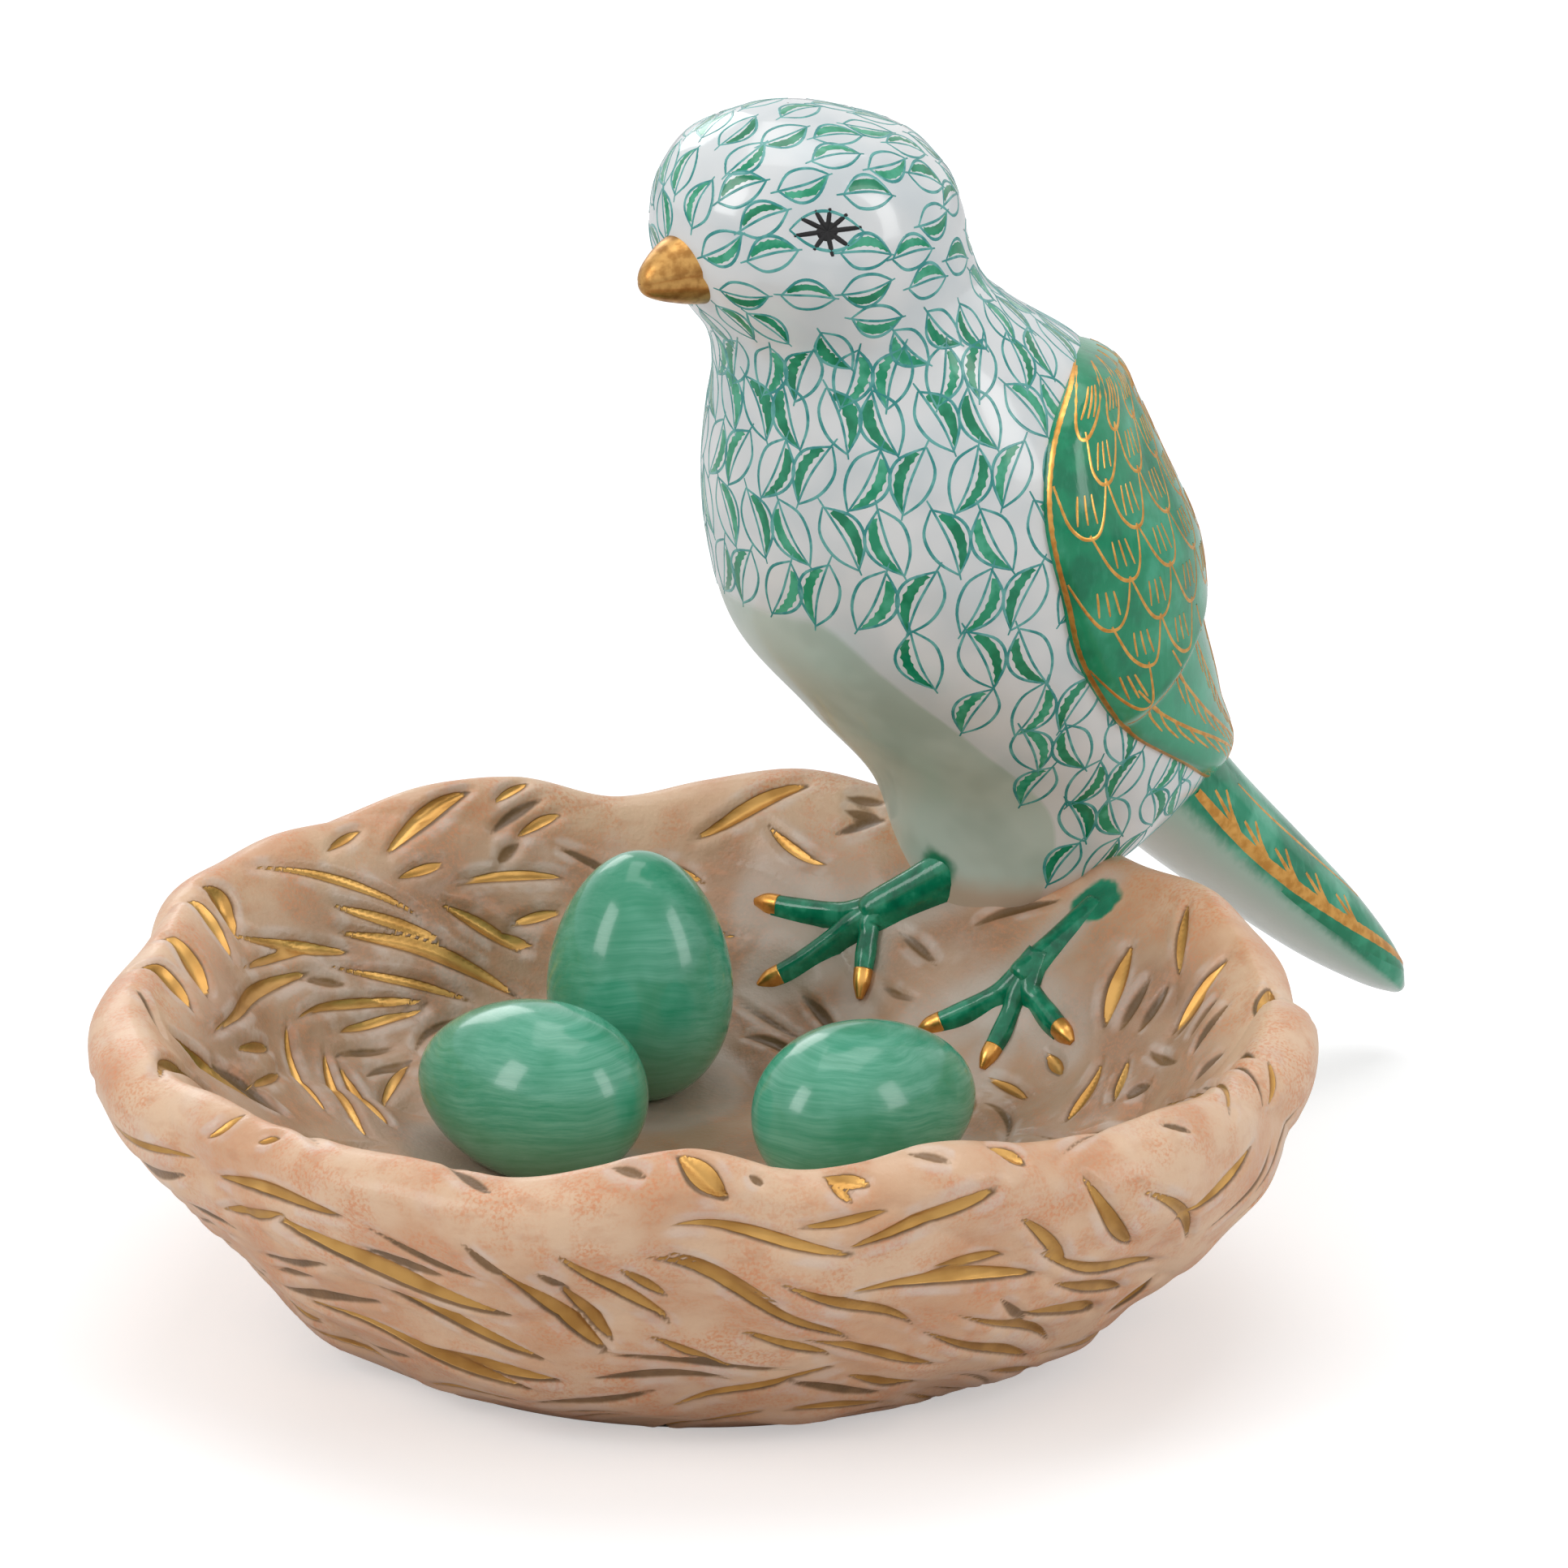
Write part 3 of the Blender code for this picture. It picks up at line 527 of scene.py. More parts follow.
def place_in_photo(x, y):
    """Angle round the nest and length up its section of what the photograph shows at a pixel."""
    right, ahead = np.array([1.0, 0.0, 0.0]), np.array([0.0, math.cos(TILT), -math.sin(TILT)])
    pixel = camera.data.sensor_width / camera.data.lens / PHOTO_WIDTH
    aside, above = pixel * (x - PHOTO_WIDTH / 2), pixel * (PHOTO_WIDTH / 2 - y)
    ray = unit(ahead + aside * right + above * np.cross(right, ahead))
    spot = nest_tree.ray_cast(Vector(AIM - DISTANCE * ahead), Vector(ray))[0]
    if spot is None:
        return None
    angle = math.atan2(spot.y, spot.x)
    radius, height = along(nest_section(np.full(tried.shape, angle)), tried).T
    nearest = np.argmin(np.hypot(radius - math.hypot(spot.x, spot.y), height - spot.z))
    return angle, float(length_at(tried[nearest]))


def flat_step(start, end):
    """Millimetres round the nest and up its section from one place to another."""
    radius = radius_at((start[1] + end[1]) / 2)
    return turn_between(start[0], end[0]) * radius, end[1] - start[1]


print("the middle of the photograph shows the nest at", place_in_photo(PHOTO_WIDTH / 2, 1500.0))

# %% Nicks read one by one
NICKS_IN_PHOTO = (
    (262, 1455, 415, 1496, 18, 0.5, 1), (275, 1490, 345, 1500, 10, 0, 1), (345, 1507, 610, 1622, 20, 0.4, 1),
    (445, 1540, 540, 1575, 10, 0, 0), (325, 1545, 400, 1558, 7, 0, 0), (345, 1562, 385, 1572, 6, 0, 0),
    (350, 1578, 460, 1608, 8, 0, 0), (460, 1590, 660, 1672, 14, 0.4, 1), (390, 1600, 640, 1702, 12, 0.4, 1),
    (540, 1660, 685, 1698, 11, 0, 1), (572, 1525, 630, 1575, 12, 0, 0), (618, 1568, 742, 1662, 20, 0, 1),
    (660, 1560, 700, 1590, 9, 0, 0), (690, 1590, 752, 1650, 17, 0, 1), (690, 1540, 820, 1628, 19, 0, 1),
    (762, 1562, 820, 1602, 14, 0, 1), (800, 1550, 1040, 1650, 14, 0.6, 1), (820, 1545, 955, 1600, 10, 0, 1),
    (830, 1510, 1045, 1548, 16, 0.3, 1), (552, 1440, 603, 1472, 14, 0, 0), (394, 1412, 432, 1412, 6, 0, 0),
    (314, 1402, 344, 1400, 12, 0, 1), (250, 1400, 300, 1375, 8, -0.4, 1), (752, 1438, 795, 1452, 11, 0, 0),
    (835, 1424, 892, 1478, 42, 0, 1), (924, 1442, 942, 1455, 8, 0, 0), (1014, 1444, 1070, 1458, 20, 0, 1),
    (1020, 1450, 1050, 1482, 12, 0, 1), (1116, 1426, 1165, 1440, 10, 0, 0),
    (1214, 1421, 1260, 1436, 20, 0, 1), (985, 1522, 1090, 1492, 10, 0, 1),
    (1050, 1540, 1215, 1468, 18, 0, 1), (1335, 1450, 1390, 1530, 22, -0.4, 1),
    (1402, 1465, 1465, 1525, 18, 0.6, 1), (1445, 1500, 1550, 1420, 14, 0, 1),
    (1258, 1500, 1310, 1556, 20, 0.3, 1), (1285, 1548, 1420, 1560, 20, -0.5, 1),
    (1150, 1566, 1240, 1555, 13, 0, 1), (1050, 1590, 1270, 1573, 15, 0.4, 1),
    (965, 1580, 1120, 1632, 15, 0.4, 1), (1300, 1582, 1380, 1590, 14, 0, 1),
    (1232, 1600, 1262, 1628, 9, 0, 0), (1255, 1620, 1345, 1615, 18, 0.4, 1),
    (1180, 1618, 1290, 1648, 12, 0.4, 1), (1140, 1643, 1260, 1668, 14, 0, 1),
    (1360, 1620, 1420, 1580, 12, 0, 1), (990, 1655, 1145, 1678, 10, 0, 1),
    (915, 1645, 1020, 1675, 12, 0.3, 1), (800, 1645, 900, 1682, 10, 0, 1), (740, 1668, 960, 1690, 8, 0, 0),
    (830, 1730, 1020, 1690, 10, 0, 1), (970, 1707, 1080, 1717, 9, 0, 0), (1045, 1697, 1130, 1710, 12, 0, 1),
    (660, 1725, 800, 1712, 8, 0, 0), (480, 1050, 575, 975, 32, 0, 1), (400, 1050, 445, 1022, 12, 0, 1),
    (612, 988, 650, 965, 10, 0, 1), (605, 1028, 665, 985, 14, 0, 0), (640, 1032, 690, 1003, 12, 0, 1),
    (490, 1082, 545, 1068, 9, 0, 1), (560, 1090, 690, 1082, 14, 0, 1), (640, 1040, 612, 1062, 10, 0, 0),
    (310, 1070, 510, 1125, 11, 0.6, 1), (410, 1113, 540, 1158, 17, 0, 1), (545, 1117, 640, 1170, 18, 0, 1),
    (600, 1148, 658, 1166, 9, 0, 1), (630, 1140, 690, 1125, 16, 0, 1), (425, 1148, 630, 1222, 24, 0.3, 1),
    (300, 1150, 430, 1172, 18, -0.4, 1), (300, 1195, 390, 1168, 11, 0, 1), (410, 1190, 575, 1232, 13, 0, 1),
    (265, 1270, 375, 1200, 22, 0, 1), (365, 1255, 520, 1235, 15, 0.5, 1), (410, 1272, 520, 1245, 9, 0, 1),
    (370, 1208, 425, 1212, 6, 0, 0), (292, 1292, 335, 1288, 16, 0, 1), (355, 1265, 400, 1365, 11, 0, 1),
    (400, 1300, 450, 1395, 14, 0, 1), (420, 1315, 475, 1385, 14, 0, 1), (410, 1302, 485, 1290, 8, 0, 0),
    (450, 1325, 505, 1307, 8, 0, 0), (475, 1360, 502, 1312, 14, 0, 1), (310, 1340, 350, 1320, 9, 0, 1),
    (215, 1275, 335, 1372, 14, 0, 1), (270, 1305, 345, 1375, 12, 0, 0), (195, 1320, 262, 1342, 10, 0.5, 1),
    (168, 1225, 197, 1275, 7, 0, 0), (165, 1195, 235, 1240, 22, 0.7, 1), (200, 1152, 255, 1225, 22, 0.7, 1),
    (230, 1105, 285, 1180, 20, 0.7, 1), (250, 1090, 300, 1150, 20, 0.7, 1),
    (1465, 1118, 1450, 1195, 17, 0, 1), (1390, 1165, 1362, 1262, 20, 0, 1),
    (1415, 1200, 1380, 1268, 8, 0, 0), (1435, 1212, 1400, 1268, 9, 0, 0), (1510, 1180, 1440, 1265, 14, 0, 1),
    (1480, 1230, 1445, 1272, 6, 0, 0), (1500, 1230, 1465, 1280, 9, 0, 0), (1515, 1238, 1475, 1300, 8, 0, 0),
    (1568, 1207, 1545, 1248, 22, 0, 1), (1285, 1295, 1303, 1320, 18, 0, 1),
    (1215, 1325, 1262, 1350, 14, 0, 1), (1355, 1310, 1315, 1380, 13, 0, 1),
    (1388, 1305, 1375, 1358, 12, 0, 1), (1415, 1335, 1390, 1355, 8, 0, 0), (1505, 1295, 1470, 1330, 8, 0, 0),
    (1545, 1305, 1505, 1320, 12, 0, 1), (1480, 1340, 1560, 1350, 9, -0.8, 0),
    (1435, 1360, 1515, 1362, 14, 0, 1), (1560, 1310, 1572, 1355, 10, 0, 1),
    (1432, 1380, 1470, 1392, 6, 0, 0), (1280, 1402, 1335, 1395, 5, 0, 0), (860, 1030, 990, 968, 20, 0, 1),
    (1040, 984, 1090, 992, 8, 0, 0), (1040, 1002, 1085, 1012, 8, 0, 0), (1030, 1030, 1090, 1015, 10, 0, 0),
)
SIDE_PIXELS, MOST_SPREAD, NARROWEST, WIDEST = 4.0, 0.16, 0.9, 2.9
taken = []


def nick_spine(angle, length, heading, long):
    """A few points along a nick, on the solid nest."""
    ahead = np.linspace(-0.48, 0.48, 5) * long
    radius = radius_at(length)
    turned = angle + ahead * math.cos(heading) / radius
    return nest_surface(turned, place_at(np.clip(length + ahead * math.sin(heading), 0.5, lengths[-1])))


for x1, y1, x2, y2, thick, bend, gilded in NICKS_IN_PHOTO:
    start, end = place_in_photo(x1, y1), place_in_photo(x2, y2)
    across = SIDE_PIXELS * unit(np.array([y1 - y2, x2 - x1], dtype=float))
    middle = np.array([x1 + x2, y1 + y2]) / 2
    sides = [place_in_photo(*(middle + sign * across)) for sign in (-1, 1)]
    if None in (start, end, *sides):
        continue
    x, y = flat_step(start, end)
    heading, long = math.atan2(y, x), math.hypot(x, y)
    angle, length = start[0] + turn_between(start[0], end[0]) / 2, (start[1] + end[1]) / 2
    x, y = flat_step(*sides)
    spread = abs(y * math.cos(heading) - x * math.sin(heading)) / (2 * SIDE_PIXELS)
    wide = min(WIDEST, max(NARROWEST, thick * min(spread, MOST_SPREAD)))
    press_nick(angle, length, heading, long, wide, bend, gilded > 0.5, min(0.75, 0.3 + 0.25 * wide))
    taken.append((nick_spine(angle, length, heading, long), 0.5 * wide))
print(len(taken), "of", len(NICKS_IN_PHOTO), "nicks placed from the photograph")

# %% [markdown]
# Nothing is carved under the eggs and the feet, so their places are needed before more nicks are added. The
# eggs are given by the middle of each, its heading, whether it lies, and its size. The feet are given by
# the top of the leg, the point where the toes part and the three claws' tips.

# %% Places of eggs and feet
EGG_LENGTH, EGG_DIAMETER, EGG_SINK, EGG_TAPER = 19.2, 13.8, 0.7, 0.13
EGG_SPOTS = ((-5.1, 20.6, 0.0, False, 1.04), (-13.2, 4.9, 145.0, True, 1.0), (12.3, 1.2, 38.0, True, 0.98))
FEET = (
    (((5.8, 2.7, 0.5), (11.4, -1.6)), ((16.2, -10.7), (18.5, -7.0), (14.5, 1.1))),
    (((-0.4, 12.4, -2.4), (6.9, 12.4)), ((13.3, 7.2), (11.9, 13.8), (7.4, 19.4))),
)


def bird_point(ahead, left, up):
    """A point in the bird's own directions, from its perch on the rim."""
    perch = (RIM_RADIUS - PERCH_INSET) * np.array([math.cos(PERCH_ANGLE), math.sin(PERCH_ANGLE)])
    x = perch[0] + ahead * math.cos(HEADING) - left * math.sin(HEADING)
    y = perch[1] + ahead * math.sin(HEADING) + left * math.cos(HEADING)
    return np.stack(np.broadcast_arrays(x, y, RIM_HEIGHT + up), axis=-1)


foot_lines = []
for (top, parting), tips in FEET:
    foot_lines += [(bird_point(*parting, 0.0)[:2], bird_point(*end[:2], 0.0)[:2]) for end in (top, *tips)]


def off_feet(points):
    """How far points are in plan from the nearest leg or toe, and from the nearest egg's outline."""
    flat = points[..., :2]
    near_foot = np.full(flat.shape[:-1], 99.0)
    for start, end in foot_lines:
        line = end - start
        share = np.clip(((flat - start) @ line) / (line @ line), 0.0, 1.0)
        near_foot = np.minimum(near_foot, np.linalg.norm(flat - start - share[..., None] * line, axis=-1))
    near_egg = np.full(flat.shape[:-1], 99.0)
    for x, y, heading, lies, size in EGG_SPOTS:
        dx, dy = flat[..., 0] - x, flat[..., 1] - y
        cos, sin = math.cos(math.radians(heading)), math.sin(math.radians(heading))
        length, width = size * (EGG_LENGTH if lies else EGG_DIAMETER) / 2, size * EGG_DIAMETER / 2
        far = np.hypot((dx * cos + dy * sin) / length, (dy * cos - dx * sin) / width)
        near_egg = np.minimum(near_egg, (far - 1.0) * width)
    return near_foot, near_egg


print(len(EGG_SPOTS), "eggs and", len(foot_lines), "legs and toes to keep clear of")

# %% [markdown]
# The rest of the nest, which the picture doesn't show, is filled by chance in tufts that lean up and down
# by turns, as the carver's hand does. A new nick is kept only where it is clear of all the others. A
# pattern laid out in a grid would be quicker, but the eye finds the grid at once.

# %% Nicks by chance
def scatter_nicks(wanted, low, high, longs, wides, gilded_share):
    kept = 0
    for _ in range(wanted * 30):
        if kept == wanted:
            break
        angle, length = chance.uniform(0.0, 2 * math.pi), chance.uniform(low, high)
        long, wide = chance.uniform(*longs), chance.uniform(*wides)
        tuft = 26.0 * math.sin(3 * angle + 0.15 * length) + 14.0 * math.sin(7 * angle - 0.1 * length)
        heading = math.radians(tuft + chance.uniform(-16.0, 16.0))
        spine = nick_spine(angle, length, heading, long)
        near_foot, near_egg = off_feet(spine)
        if min(near_foot.min(), near_egg.min()) < 1.6 and length > LIP_LENGTH:
            continue
        gaps = [np.linalg.norm(spine[:, None] - other[None], axis=-1).min() - half for other, half in taken]
        if min(gaps) < 0.5 * wide + 0.8:
            continue
        bend = chance.uniform(-0.7, 0.7)
        gilded = chance.random() < gilded_share
        press_nick(angle, length, heading, long, wide, bend, gilded, 0.2 + 0.22 * wide)
        taken.append((spine, 0.5 * wide))
        kept += 1
    return kept


outside = scatter_nicks(180, 2.5, LIP_LENGTH - 6.0, (6.0, 13.0), (0.45, 1.2), 0.5)
inside = scatter_nicks(130, LIP_LENGTH + 5.0, FLOOR_LENGTH - 4.0, (4.0, 9.0), (0.6, 1.2), 0.4)
print("nicks by chance, outside and inside:", outside, inside)

# %% [markdown]
# ## The nest's skin
# The heights are pressed in along the normals of the smooth form. The grid is then cut at a row just inside
# the lip, so that the outside and the inside are two pieces of a handy size. Their shading normals are
# taken from the whole grid, so no seam shows where they meet.

# %% Pressing the heights in
def soften(heights, times):
    """Evens the heights out with their neighbours, as glaze does when it melts."""
    for _ in range(times):
        heights = 0.5 * heights + 0.25 * (np.roll(heights, 1, axis=1) + np.roll(heights, -1, axis=1))
        heights[1:-1] = 0.5 * heights[1:-1] + 0.25 * (heights[:-2] + heights[2:])
    return heights


relief += soften(BURR_HEIGHT * burr * (cut_depth < 0.02), 2) - soften(cut_depth.copy(), 1)
near_foot, near_egg = off_feet(base)
on_inside = grid_length > LIP_LENGTH
bare = np.where(on_inside, smooth_step(-0.5, 2.0, near_egg), 1.0)
nest_points = base + base_normal * (bare * relief)[..., None]
nest_normals = grid_normals(nest_points)
leg_pools = [bird_point(*middle) for middle in ((7.4, 2.2, -0.9), (0.6, 12.9, -1.9))]


def pool_reach(points, radius=2.2):
    """How far points are inside the puddles of green where the legs meet the clay."""
    return radius - np.min([np.linalg.norm(points - middle, axis=-1) for middle in leg_pools], axis=0)


halo = np.where(on_inside, np.exp(-((np.maximum(near_foot - 1.0, 0.0) / 1.0) ** 2)), 0.0)
pool = np.where(on_inside, np.exp(-((np.maximum(near_egg, 0.0) / 1.2) ** 2)), 0.0)
nest_paint = {
    "cut_stain_and_shade": stain_and_shade_reach, "burr": burr, "gold": gold_reach, "halo": np.maximum(halo, pool),
    "green": pool_reach(nest_points),
    "inside": smooth_step(LIP_LENGTH + 1.0, LIP_LENGTH + 8.0, grid_length),
    "low": 1.0 - smooth_step(3.0, 15.0, grid_length), "roll": relief,
}
print("relief from", relief.min().round(2), "to", relief.max().round(2), "mm")

# %% [markdown]
# The nest's colour is a thin peach-brown stain that was wiped off the high places and left in the cuts. So
# the stain follows the kept heights: brown where a nick is deep, where painted shade is added to the stain,
# milky where glaze gathered along its edge, with a painted highlight there as well, and speckled orange on
# the rolls that were wiped. The inside is darker, and so is the outside near the foot. Gold is a metal, so
# its mask drives colour, metallic and gloss.

# %% Stained and gilded clay, with painted shade and highlights
nest_clay = Finish("stained_clay_with_painted_light", roughness=0.4, specular_ior_level=0.4,
                   coat_weight=0.2, coat_roughness=0.15)
cut_stain_and_shade = (nest_clay.painted("cut_stain_and_shade") + 0.1 * nest_clay.noise(0.7, 2.0) - 0.05).within(-0.1, 0.16)
roll = nest_clay.painted("roll").within(-0.5, 0.3)
inside_share = nest_clay.painted("inside")
cloud = nest_clay.noise(8.0, 3.0).within(0.36, 0.64)
grit = nest_clay.noise(0.28, 3.0)
patch = nest_clay.noise(4.0, 3.0).within(0.38, 0.6)
clay_colour = nest_clay.mix(cloud, colour(232, 196, 162), colour(218, 170, 132))
clay_colour = nest_clay.mix(inside_share, clay_colour, nest_clay.mix(cloud, colour(192, 158, 130), colour(168, 130, 100)))
smear = nest_clay.noise(2.4, 4.0, nest_clay.place((1.0, 1.0, 2.5))).within(0.5, 0.72)
clay_colour = nest_clay.mix(0.6 * smear * (0.4 + 0.6 * patch), clay_colour, colour(206, 148, 110))
speckle = grit.within(0.42, 0.66) * patch * (0.35 + 0.45 * roll) * (1 - 0.6 * inside_share)
clay_colour = nest_clay.mix(speckle, clay_colour, colour(222, 146, 100))
# Pale along the burrs and in patches: milky glaze with a painted highlight on it.
milky_sheen = nest_clay.noise(3.0, 2.0).within(0.42, 0.64) * nest_clay.painted("burr").within(0.1, 0.9)
glaze_sheen_patch = nest_clay.noise(5.0, 3.0).within(0.56, 0.72)
clay_colour = nest_clay.mix(0.4 * milky_sheen + 0.16 * glaze_sheen_patch, clay_colour, colour(226, 212, 202))
clay_colour = nest_clay.mix(0.5 * nest_clay.painted("low"), clay_colour, colour(158, 112, 80))
# Brown in the nicks: the stain left in the cut, darkened further as painted shade.
clay_colour = nest_clay.mix(0.92 * cut_stain_and_shade, clay_colour, nest_clay.mix(patch, colour(128, 94, 54), colour(98, 72, 36)))
clay_colour = nest_clay.mix(0.5 * nest_clay.painted("halo"), clay_colour, colour(206, 198, 188))
puddle = (nest_clay.painted("green") + 1.2 * (nest_clay.noise(1.5, 2.0) - 0.5)).within(-0.2, 0.3)
clay_colour = nest_clay.mix(puddle, clay_colour, nest_clay.mix(patch, colour(4, 118, 84), colour(26, 146, 108)))
brushed = nest_clay.noise(1.4, 3.0)
gold_mask = (nest_clay.painted("gold") + 0.08 * brushed - 0.04).within(-0.03, 0.05) * (1 - puddle)
gold_cloud = nest_clay.noise(3.5, 2.0).within(0.35, 0.7)
leaf_gold = nest_clay.mix(gold_cloud, colour(206, 160, 92), colour(176, 130, 68))
skin = nest_clay.mix(gold_mask, clay_colour, leaf_gold)
pores = nest_clay.noise(0.35, 2.0) + 1.5 * nest_clay.noise(1.6, 3.0)
nest_clay.done(
    Base_Color=skin, Metallic=gold_mask * 0.85, Roughness=0.4 + 0.1 * brushed - 0.06 * gold_mask,
    Coat_Weight=0.2 - 0.2 * gold_mask, Normal=nest_clay.bump(pores * (1 - 0.85 * gold_mask), 0.05),
)
print("stained clay:", len(nest_clay.tree.nodes), "nodes")

# %% [markdown]
# One mesh for the whole nest would be heavy, so the grid is cut into an outside and an inside that share
# the row of points at the cut. When the outside is made, the imported model's one solid is hidden, so that
# the plain solid isn't shown any more.

# %% Outside and inside of the nest
cut_row = len(outer_rows) - 1
nest_halves = (("nest_outside", slice(0, cut_row + 1)), ("nest_inside", slice(cut_row, len(row_lengths))))
for name, rows in nest_halves:
    points, normals = nest_points[rows], nest_normals[rows]
    faces = sheet_faces(len(points), COLUMNS, True)
    paint = {key: values[rows] for key, values in nest_paint.items()}
    half = piece(name, points, faces, nest_clay.material, paint, normals)
    if name == "nest_outside":
        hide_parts("bird_in_nest")

# %% [markdown]
# The foot is a flat ring that was wiped clean of glaze so that it didn't stick to the kiln shelf. Inside it
# the underside is slightly hollow. It is a small sheet of rings turned round the nest's axis.

# %% Foot ring
bare_clay = Finish("bare_biscuit", roughness=0.75, coat_weight=0.0)
grain = bare_clay.noise(0.5, 3.0)
bare_clay.done(
    Base_Color=bare_clay.mix(grain.within(0.3, 0.7), colour(226, 220, 210), colour(206, 196, 184)),
    Normal=bare_clay.bump(grain, 0.05),
)
FOOT_PROFILE = (
    (26.8, 0.0), (26.6, 0.0), (24.7, 0.0), (22.8, 0.0), (22.5, 0.15),
    (22.1, 1.2), (21.8, 2.1), (21.2, 2.4), (11.0, 2.4), (0.3, 2.4),
)
foot_angles = np.linspace(0.0, 2 * math.pi, 160, endpoint=False)
foot_points = np.array([
    [(radius * math.cos(a), radius * math.sin(a), height) for a in foot_angles]
    for radius, height in FOOT_PROFILE
])
foot_faces = sheet_faces(len(FOOT_PROFILE), len(foot_angles), True)[:, ::-1]
piece("foot_ring", foot_points, foot_faces, bare_clay.material)

# %% [markdown]
# ## Eggs
# An egg is a ball that is drawn out and slightly pointed at one end. The painter laid the green on with a
# soft brush while the egg turned, which left fine streaks. So the streaks are noise that is stretched along
# the turns: its coordinates are the egg's own height and the angle round it, kept on the points. A slow
# noise bends the streaks a little, because no hand holds a brush quite still.

# %% Egg glaze
egg_glaze = Finish("egg_glaze", roughness=0.18, specular_ior_level=0.4, coat_weight=0.25, coat_roughness=0.06)
height, turn = egg_glaze.painted("height"), egg_glaze.painted("turn")
bent = height * 34.0 + 5.0 * egg_glaze.noise(8.0, 2.0) + 2.0 * turn
brush = egg_glaze.node("ShaderNodeCombineXYZ", {}, {0: bent, 1: turn * 2.2, 2: egg_glaze.painted("which")})
strokes = {"Vector": brush, "Scale": 1.0, "Detail": 6.0, "Roughness": 0.7}
streak = egg_glaze.node("ShaderNodeTexNoise", {}, strokes)
wash = egg_glaze.noise(6.0, 3.0)
green = egg_glaze.mix(streak.within(0.2, 0.8), colour(50, 156, 120), colour(116, 192, 164))
green = egg_glaze.mix(wash.within(0.42, 0.66) * 0.6, green, colour(34, 146, 106))
# Greyer olive towards the bottom, where the egg sits in the nest: painted shade and painted reflection of the
# nest.
green = egg_glaze.mix((0.45 - height).within(0.0, 0.4) * 0.65, green, colour(108, 146, 110))
egg_glaze.done(Base_Color=green, Roughness=0.15 + 0.08 * streak, Normal=egg_glaze.bump(streak, 0.008))
print("egg glaze:", len(egg_glaze.tree.nodes), "nodes")

# %% [markdown]
# Each egg rests in the glaze of the floor, so the height of the nest's inside is needed below it. The
# section gives a height for a place along it, not for a distance from the middle, so the place is found by
# halving.

# %% Three eggs
EGG_ROWS, EGG_COLUMNS = 90, 120


def inner_wall(x, y):
    """Height of the nest's smooth inside above places on the table."""
    angle, radius = np.arctan2(y, x), np.hypot(x, y)
    low, high = np.full(angle.shape, LIP_PLACE), np.full(angle.shape, SECTION_LAST + 1.0)
    section = nest_section(angle)
    for _ in range(26):
        middle = 0.5 * (low + high)
        outward = along(section, middle)[:, 0] > radius
        low, high = np.where(outward, middle, low), np.where(outward, high, middle)
    return along(section, low)[:, 1]


def egg(name, x, y, heading, lies, size, which):
    half, radius = size * EGG_LENGTH / 2, size * EGG_DIAMETER / 2
    tilt, turn = round_grid(0.002, math.pi - 0.002, EGG_ROWS, EGG_COLUMNS)
    height = -np.cos(tilt)
    girth = radius * np.sin(tilt) * (1.0 - EGG_TAPER * height)
    points = np.stack([girth * np.cos(turn), girth * np.sin(turn), half * height], axis=-1)
    if lies:
        points = np.stack([points[..., 2], points[..., 1], -points[..., 0]], axis=-1)
    px, py, pz = points[..., 0], points[..., 1], points[..., 2]
    cos, sin = math.cos(math.radians(heading)), math.sin(math.radians(heading))
    turned = np.stack([px * cos - py * sin, px * sin + py * cos, pz], axis=-1)
    floor = inner_wall(np.array([x]), np.array([y]))[0]
    turned += np.array([x, y, floor + (radius if lies else half) - EGG_SINK])
    upright = (turned[..., 2] - floor) / (2 * (radius if lies else half))
    paint = {"height": upright, "turn": height if lies else np.sin(turn), "which": np.full(turn.shape, which)}
    return piece(name, turned, sheet_faces(EGG_ROWS, EGG_COLUMNS, True), egg_glaze.material, paint)


for which, (name, spot) in enumerate(zip(("standing_egg", "left_egg", "right_egg"), EGG_SPOTS)):
    egg(name, *spot, which * 7.3)

# %% [markdown]
# ## The bird's body
# The body is given by level slices: how far it reaches ahead, how far behind, and how wide it is. Between
# them a smooth curve is read, and each slice is an ellipse. Points close to the eye are pushed in a little,
# with a low brow above, as a finger would press them into soft clay.

# %% Body slices
BODY_SLICES = np.array([
    (-9, 6.4, -2.6, 3.6), (-4.5, 7.6, 4.2, 7.6), (0.5, 8.4, 12.6, 10.6), (4.5, 9.8, 17.4, 12.6),
    (11.5, 16, 16, 15), (18.5, 22.2, 13.8, 16.6), (25.5, 24.6, 12.3, 17.2), (32, 25.2, 9.0, 16.4),
    (36.5, 25, 6.8, 15.2), (40.5, 24.9, 4.6, 13.4), (43.5, 25.8, -0.1, 11.9), (46.5, 28.3, -4.2, 11.4),
    (49.8, 30.5, -6.1, 11.7), (53, 30.9, -6.8, 11.5), (56.6, 30, -8.6, 10.2), (59.4, 27.6, -12.2, 7.4),
    (60.9, 24.3, -16.8, 3.6),
])
CROWN_RISE = 0.5
slice_slopes = np.gradient(BODY_SLICES[:, 1:], BODY_SLICES[:, 0], axis=0)


